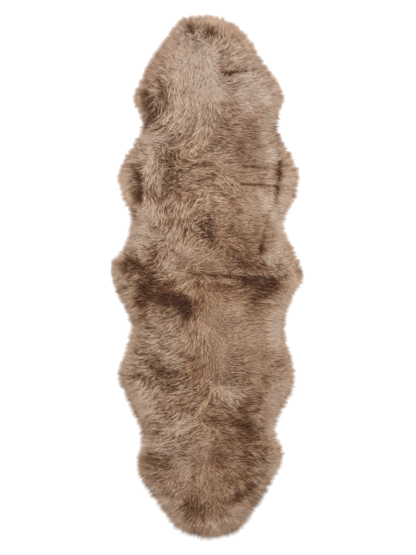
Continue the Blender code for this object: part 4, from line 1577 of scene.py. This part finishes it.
    def strips(self, paths: Array, width: Array) -> Array:
        """Turn the fibres' paths into tapered strips.

        Args:
            paths: points by fibre, station and axis.
            width: one width for each fibre.

        Returns:
            Points by fibre, place in the strip and axis: a pair at each station, then the tip.
        """
        fibres = len(paths)
        tangents = np.gradient(paths, axis=1)[:, :-1]
        tangents /= np.maximum(np.linalg.norm(tangents, axis=2, keepdims=True), 1e-9)
        upright = np.zeros_like(tangents)
        upright[..., 2] = 1.0
        side = np.cross(tangents, upright)
        side /= np.maximum(np.linalg.norm(side, axis=2, keepdims=True), 1e-9)
        over = np.cross(side, tangents)
        roll = self.roll * self.random.uniform(-1.0, 1.0, (fibres, 1, 1))
        side = side * np.cos(roll) + over * np.sin(roll)
        half = side * (width[:, None] * STATION_WIDTHS / 2)[..., None]
        pairs = np.stack([paths[:, :-1] - half, paths[:, :-1] + half], axis=2).reshape(fibres, -1, 3)
        strips = np.concatenate([pairs, paths[:, -1:]], axis=1)
        strips[..., 2] = np.maximum(strips[..., 2], self.floor_clearance / 2)
        return strips

    def mesh_object(self, name: str, strips: Array, shade: Array, warmth: Array) -> Piece:
        """Make one mesh of many strips.

        Args:
            name: the piece's name.
            strips: points by fibre, place in the strip and axis.
            shade: one shade for each fibre.
            warmth: one warmth for each fibre.

        Returns:
            The new object.
        """
        fibres, per_fibre, _ = strips.shape
        quads = np.array([[2 * k, 2 * k + 1, 2 * k + 3, 2 * k + 2] for k in range(len(STATIONS) - 2)])
        point = np.array([per_fibre - 3, per_fibre - 2, per_fibre - 1])
        pattern = np.concatenate([quads.ravel(), point])
        loops = (np.arange(fibres)[:, None] * per_fibre + pattern).ravel()
        totals = np.tile([4] * len(quads) + [3], fibres)
        mesh = bpy.data.meshes.new(name)
        mesh.vertices.add(fibres * per_fibre)
        mesh.vertices.foreach_set("co", strips.ravel())
        mesh.loops.add(len(loops))
        mesh.loops.foreach_set("vertex_index", loops)
        mesh.polygons.add(len(totals))
        mesh.polygons.foreach_set("loop_start", np.concatenate([[0], np.cumsum(totals)[:-1]]))
        mesh.polygons.foreach_set("loop_total", totals)
        mesh.polygons.foreach_set("use_smooth", np.ones(len(totals), bool))
        across = np.append(np.tile([0.0, 1.0], len(STATIONS) - 1), 0.5)
        along = np.append(np.repeat(STATIONS[:-1], 2), 1.0)
        shift = np.arange(fibres) % PATTERN_PLACES * PATTERN_STEP
        mesh.uv_layers.new(name="strand")
        u = (across[pattern][None, :] + shift[:, None]).ravel()
        v = np.tile(along[pattern], fibres)
        mesh.uv_layers["strand"].data.foreach_set("uv", np.column_stack([u, v]).ravel())
        mesh.update(calc_edges=True)
        thing = bpy.data.objects.new(name, mesh)
        bpy.context.scene.collection.objects.link(thing)
        set_point_values(thing, "shade", np.repeat(as_share(shade), per_fibre))
        set_point_values(thing, "warmth", np.repeat(as_share(warmth), per_fibre))
        return thing

    def build(self, finish: Material) -> dict[Side, list[Piece]]:
        """Grow the wool, in one piece for each pelt's bands from rump to neck.

        Args:
            finish: the wool's material.

        Returns:
            Each pelt's pieces.
        """
        grown = []
        for layer in LAYERS:
            paths, width, shade, warmth = self.paths(layer, self.tips(layer))
            grown.append((self.strips(paths, width), shade, warmth, paths[:, 0, 1]))
        strips, shade, warmth, root = (np.concatenate(values) for values in zip(*grown))
        pieces = {}
        for side in Side:
            own = np.flatnonzero(np.sign(root) == side.value)
            own = own[np.argsort(np.abs(root[own]), kind="stable")]
            ends = [0, *(round(band.value * len(own)) for band in Band)]
            pieces[side] = []
            for band, first, last in zip(Band, ends, ends[1:]):
                chosen = own[first:last]
                name = f"{side.label}_wool_{band.name.lower()}"
                piece = self.mesh_object(name, strips[chosen], shade[chosen], warmth[chosen])
                piece.data.materials.append(finish)
                pieces[side].append(piece)
        return pieces


@dataclass
class Undercoat:
    """The dense wool that the locks grow through: a lumpy body with a wall at the hide's edge."""

    side: Side
    step: float = 0.0075
    overhang: float = 0.006
    depth: float = 0.0095
    seam_gap: float = 0.0005
    lump: float = 0.0030
    lump_spacing: float = 0.016
    foot: float = 0.0030
    foot_inset: float = 0.0045

    def build(self, rug: RugMap, lay: Lay, finish: Material) -> Piece:
        """Shape the undercoat from a grid over the pelt.

        Args:
            rug: the rug's map.
            lay: how the wool lies, for its tones.
            finish: the undercoat's material.

        Returns:
            The closed body.
        """
        thing = self.cut_grid(rug)
        places = vertex_array(thing)
        rim = self.boundary(thing)
        self.snap(places, rim, rug)
        top = rug.at(places[:, :2])[2] - self.depth
        top += self.lump * SmoothNoise(Seed.LUMPS, self.lump_spacing).at(places[:, :2])
        places[:, 2] = np.maximum(top, self.foot * 2)
        place_vertices(thing, places)
        self.close(thing, rim, rug)
        shade, warmth = lay.tones(vertex_array(thing)[:, :2])
        set_point_values(thing, "shade", as_share(shade))
        set_point_values(thing, "warmth", as_share(warmth))
        thing.data.materials.append(finish)
        return thing

    def cut_grid(self, rug: RugMap) -> Piece:
        """Lay a grid over the pelt's side of the seam and delete what lies past its edge."""
        low, high = cad_box
        far = high.y if self.side is Side.UPPER else -low.y
        width = 2 * max(-low.x, high.x)
        counts = math.ceil(width / self.step), math.ceil(far / self.step)
        deselect_all()
        bpy.ops.mesh.primitive_grid_add(x_subdivisions=counts[0], y_subdivisions=counts[1], size=1.0)
        thing = bpy.context.object
        thing.name = thing.data.name = f"{self.side.label}_undercoat"
        places = vertex_array(thing)
        places[:, 0] *= counts[0] * self.step
        places[:, 1] = self.side.value * (self.seam_gap + (places[:, 1] + 0.5) * counts[1] * self.step)
        place_vertices(thing, places)
        outside = rug.at(places[:, :2])[0] < -self.overhang
        select_vertices(thing, outside)
        bpy.ops.mesh.delete(type="VERT")
        bpy.ops.mesh.select_all(action="SELECT")
        bpy.ops.mesh.delete_loose()
        bpy.ops.object.mode_set(mode="OBJECT")
        return thing

    @staticmethod
    def boundary(thing: Piece) -> Array:
        """Mark the vertices on the mesh's open edge."""
        make_active(thing)
        bpy.ops.object.mode_set(mode="EDIT")
        bpy.ops.mesh.select_mode(type="VERT")
        bpy.ops.mesh.select_all(action="DESELECT")
        bpy.ops.mesh.select_non_manifold(extend=False)
        bpy.ops.object.mode_set(mode="OBJECT")
        return selected_vertices(thing)

    def snap(self, places: Array, rim: Array, rug: RugMap) -> None:
        """Move the open edge out to the undercoat's own edge, except along the seam."""
        loose = rim & (np.abs(places[:, 1]) > self.step / 2)
        inset, outward, _, _ = rug.at(places[loose, :2])
        places[loose, :2] += outward * (inset + self.overhang)[:, None]

    def close(self, thing: Piece, rim: Array, rug: RugMap) -> None:
        """Extrude the open edge down to its foot and close the underside."""
        select_vertices(thing, rim)
        bpy.ops.mesh.select_mode(type="EDGE")
        bpy.ops.mesh.select_all(action="DESELECT")
        bpy.ops.mesh.select_non_manifold(extend=False)
        bpy.ops.mesh.extrude_edges_move()
        bpy.ops.object.mode_set(mode="OBJECT")
        marked = selected_vertices(thing)
        places = vertex_array(thing)
        _, outward, _, _ = rug.at(places[marked, :2])
        clear = np.abs(places[marked, 1:2]) > self.step / 2
        places[marked, :2] -= outward * self.foot_inset * clear
        places[marked, 2] = self.foot
        place_vertices(thing, places)
        bpy.ops.object.mode_set(mode="EDIT")
        bpy.ops.mesh.edge_face_add()
        bpy.ops.mesh.select_all(action="SELECT")
        bpy.ops.mesh.normals_make_consistent(inside=False)
        bpy.ops.mesh.faces_shade_smooth()
        bpy.ops.object.mode_set(mode="OBJECT")


@dataclass
class Hide:
    """One pelt's tanned hide: a suede sheet with a cut edge, lifted a little where it is sewn."""

    side: Side
    grid_step: float = 0.012
    seam_loops: tuple[float, ...] = (0.0016, 0.0034, 0.0060)
    seam_lift: float = 0.0010
    seam_lift_width: float = 0.0034
    ripple: float = 0.0005
    ripple_spacing: float = 0.045
    merge: float = 1e-5
    cutter_stretch: float = 6.0
    under_facing: float = 0.7
    smooth_angle: float = 40.0

    def node(self) -> str:
        """Name the model's node that the sheet stands for."""
        return f"{self.side.label}_hide"

    def build(self, finish: Material) -> Piece:
        """Cut the sheet to the model's outline and shape it.

        Args:
            finish: the suede.

        Returns:
            The closed sheet.
        """
        low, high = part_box(self.node())
        cutter = self.cutter(high.z)
        deselect_all()
        counts = [math.ceil((high[axis] - low[axis]) / self.grid_step) for axis in (0, 1)]
        bpy.ops.mesh.primitive_grid_add(
            x_subdivisions=counts[0], y_subdivisions=counts[1], size=1.0, location=(low + high) / 2
        )
        thing = bpy.context.object
        thing.name = thing.data.name = f"{self.side.label}_suede"
        thing.scale = (high.x - low.x + self.grid_step, high.y - low.y + self.grid_step, 1.0)
        thing.location.z = high.z
        bpy.ops.object.transform_apply(location=True, rotation=False, scale=True)
        thickness = thing.modifiers.new("thickness", "SOLIDIFY")
        thickness.thickness = high.z
        thickness.offset = -1.0
        bpy.ops.object.modifier_apply(modifier=thickness.name)
        cut = thing.modifiers.new("outline", "BOOLEAN")
        cut.operation = "INTERSECT"
        cut.object = cutter
        bpy.ops.object.modifier_apply(modifier=cut.name)
        bpy.data.objects.remove(cutter, do_unlink=True)
        self.add_seam_loops(thing)
        self.shape(thing, high.z)
        thing.data.materials.clear()
        thing.data.materials.append(finish)
        make_active(thing)
        bpy.ops.object.shade_smooth_by_angle(angle=math.radians(self.smooth_angle))
        return thing

    def cutter(self, thickness: float) -> Piece:
        """Copy the model's hide, merged, and stretch it through the sheet on both sides."""
        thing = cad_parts[self.node()].copy()
        thing.data = thing.data.copy()
        thing.parent = None
        for key in list(thing.keys()):
            del thing[key]
        bpy.context.scene.collection.objects.link(thing)
        places = vertex_array(thing)
        places[:, 2] = (places[:, 2] - thickness / 2) * self.cutter_stretch
        place_vertices(thing, places)
        select_vertices(thing, np.ones(len(places), bool))
        bpy.ops.mesh.remove_doubles(threshold=self.merge)
        bpy.ops.object.mode_set(mode="OBJECT")
        return thing

    def add_seam_loops(self, thing: Piece) -> None:
        """Bisect the sheet beside the seam, so that it can bend there."""
        for distance in self.seam_loops:
            make_active(thing)
            bpy.ops.object.mode_set(mode="EDIT")
            bpy.ops.mesh.select_all(action="SELECT")
            bpy.ops.mesh.bisect(plane_co=(0.0, self.side.value * distance, 0.0), plane_no=(0.0, 1.0, 0.0))
            bpy.ops.object.mode_set(mode="OBJECT")

    def shape(self, thing: Piece, thickness: float) -> None:
        """Lift the sewn edge and let the wool side ripple."""
        places = vertex_array(thing)
        wool_side = places[:, 2] > thickness / 2
        lift = self.seam_lift * np.exp(-((places[:, 1] / self.seam_lift_width) ** 2))
        waves = SmoothNoise(Seed.RIPPLE, self.ripple_spacing).at(places[:, :2])
        ripple = self.ripple * np.minimum(waves, 0.0)
        places[:, 2] += lift + np.where(wool_side, ripple, 0.0)
        place_vertices(thing, places)


@dataclass
class SeamStitches:
    """The furrier's overcast stitches that join the hides, on the suede side."""

    pitch: float = 0.0045
    thread: float = 0.0008
    bite: float = 0.0024
    slant: float = 0.0014
    end_margin: float = 0.006
    sink: float = 0.0016
    sink_power: int = 3
    rest: float = 0.55
    sides: int = 6
    rings: int = 6

    def build(self, finish: Material) -> Piece:
        """Model one stitch and repeat it along the seam.

        Args:
            finish: the thread.

        Returns:
            One mesh of all the stitches.
        """
        stitch = self.stitch()
        lows, highs = zip(*(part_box(f"{side.label}_hide") for side in Side))
        start = max(low.x for low in lows) + self.end_margin
        end = min(high.x for high in highs) - self.end_margin
        count = round((end - start) / self.pitch)
        shape = vertex_array(stitch)
        places = [start + (end - start) * n / count for n in range(count + 1)]
        copies = [shape + np.array([place, 0.0, 0.0]) for place in places]
        faces = [tuple(face.vertices) for face in stitch.data.polygons]
        all_faces = [tuple(v + n * len(shape) for v in face) for n in range(count + 1) for face in faces]
        mesh = bpy.data.meshes.new("seam_stitches")
        mesh.from_pydata(np.concatenate(copies).tolist(), [], all_faces)
        mesh.shade_smooth()
        mesh.materials.append(finish)
        bpy.data.objects.remove(stitch, do_unlink=True)
        thing = bpy.data.objects.new("seam_stitches", mesh)
        bpy.context.scene.collection.objects.link(thing)
        return thing

    def stitch(self) -> Piece:
        """Bend a thin cylinder into a stitch that crosses the seam and dips into the suede."""
        deselect_all()
        bpy.ops.mesh.primitive_cylinder_add(
            vertices=self.sides, radius=self.thread / 2, depth=1.0, end_fill_type="NGON"
        )
        thing = bpy.context.object
        make_active(thing)
        bpy.ops.object.mode_set(mode="EDIT")
        for ring in range(1, self.rings):
            bpy.ops.mesh.select_all(action="SELECT")
            bpy.ops.mesh.bisect(plane_co=(0.0, 0.0, ring / self.rings - 0.5), plane_no=(0.0, 0.0, 1.0))
        bpy.ops.object.mode_set(mode="OBJECT")
        places = vertex_array(thing)
        along = places[:, 2] * 2
        bent = np.empty_like(places)
        bent[:, 0] = places[:, 0] + along * self.slant
        bent[:, 1] = along * self.bite
        bent[:, 2] = self.thread * self.rest + places[:, 1] + self.sink * np.abs(along) ** self.sink_power
        place_vertices(thing, bent)
        make_active(thing)
        bpy.ops.object.mode_set(mode="EDIT")
        bpy.ops.mesh.select_all(action="SELECT")
        bpy.ops.mesh.normals_make_consistent(inside=False)
        bpy.ops.object.mode_set(mode="OBJECT")
        return thing


@dataclass
class Pelt:
    """One lamb's pelt: its hide, the undercoat and the wool."""

    side: Side

    def build(self, rug: RugMap, lay: Lay, finishes: dict[str, Material], locks: list[Piece]) -> None:
        """Make the pelt's hide and undercoat, and let its pieces stand for the model's nodes.

        Args:
            rug: the rug's map.
            lay: how the wool lies.
            finishes: the materials by name.
            locks: the pelt's long wool.
        """
        name = self.side.label
        hide = Hide(self.side)
        sheet = hide.build(finishes["suede"])
        undercoat = Undercoat(self.side).build(rug, lay, finishes["undercoat"])
        for piece in (undercoat, *locks):
            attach(piece, ROOT_BODY)
            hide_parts(f"{name}_fleece")
            report(piece)
        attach(sheet, ROOT_BODY)
        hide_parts(hide.node())
        report(sheet)


@dataclass
class Studio:
    """A white floor, soft light from above and a camera that looks straight down."""

    scale: float = 0.003422
    image: tuple[int, int] = (416, 555)
    aim: Point = (0.0041, -0.0017)
    pile: float = 0.030
    lens: float = 85.0
    sensor: float = 36.0
    floor_size: float = 14.0
    floor_drop: float = 0.0004
    sky: float = 0.54
    key_power: float = 130.0
    key_size: float = 1.6
    key_place: tuple[float, float, float] = (0.2, 1.1, 3.4)
    view_depth: float = 50.0

    def build(self) -> None:
        """Set up the floor, the light and the camera."""
        self.floor()
        self.light()
        self.camera()

    def floor(self) -> None:
        """Lay the floor."""
        deselect_all()
        bpy.ops.mesh.primitive_plane_add(size=self.floor_size, location=(0.0, 0.0, -self.floor_drop))
        floor = bpy.context.object
        floor.name = "studio_floor"
        floor.data.materials.append(FloorFinish().material())

    def light(self) -> None:
        """Light the rug from an even sky and one soft lamp over its upper end."""
        world = bpy.data.worlds.new("studio_sky")
        world.use_nodes = True
        world.node_tree.nodes["Background"].inputs["Strength"].default_value = self.sky
        world.node_tree.nodes["Background"].inputs["Color"].default_value = (*WHITE, 1.0)
        bpy.context.scene.world = world
        deselect_all()
        bpy.ops.object.light_add(type="AREA", location=self.key_place)
        lamp = bpy.context.object
        lamp.name = "soft_lamp"
        lamp.data.energy = self.key_power
        lamp.data.size = self.key_size
        lamp.rotation_euler = (-Vector(self.key_place)).to_track_quat("-Z", "Y").to_euler()
        bpy.context.scene.view_settings.view_transform = "Standard"

    def camera(self) -> None:
        """Hang the camera so that the picture covers the photograph's frame at the pile."""
        long_side = max(self.image) * self.scale
        distance = self.lens * long_side / self.sensor
        deselect_all()
        bpy.ops.object.camera_add(location=(*self.aim, self.pile + distance), rotation=(0.0, 0.0, 0.0))
        camera = bpy.context.object
        camera.name = "overhead_camera"
        camera.data.lens = self.lens
        camera.data.sensor_width = self.sensor
        camera.data.clip_end = self.view_depth
        bpy.context.scene.camera = camera


def report(piece: Piece) -> None:
    """Log one piece and its size."""
    triangles = sum(len(face.vertices) - 2 for face in piece.data.polygons)
    log.info("%s: %d triangles", piece.name, triangles)


def main() -> None:
    """Dress both pelts, sew them together and light the rug."""
    logging.basicConfig(level=logging.INFO, format="%(name)s: %(message)s")
    Studio().build()
    rug = RugMap()
    lay = Lay()
    finishes = {
        "wool": WoolFinish().material(),
        "undercoat": UndercoatFinish().material(),
        "suede": SuedeFinish().material(),
    }
    locks = Wool(rug, lay).build(finishes["wool"])
    for side in Side:
        Pelt(side).build(rug, lay, finishes, locks[side])
    stitches = SeamStitches().build(ThreadFinish().material())
    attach(stitches, ROOT_BODY)
    report(stitches)


if __name__ == "__main__":
    main()
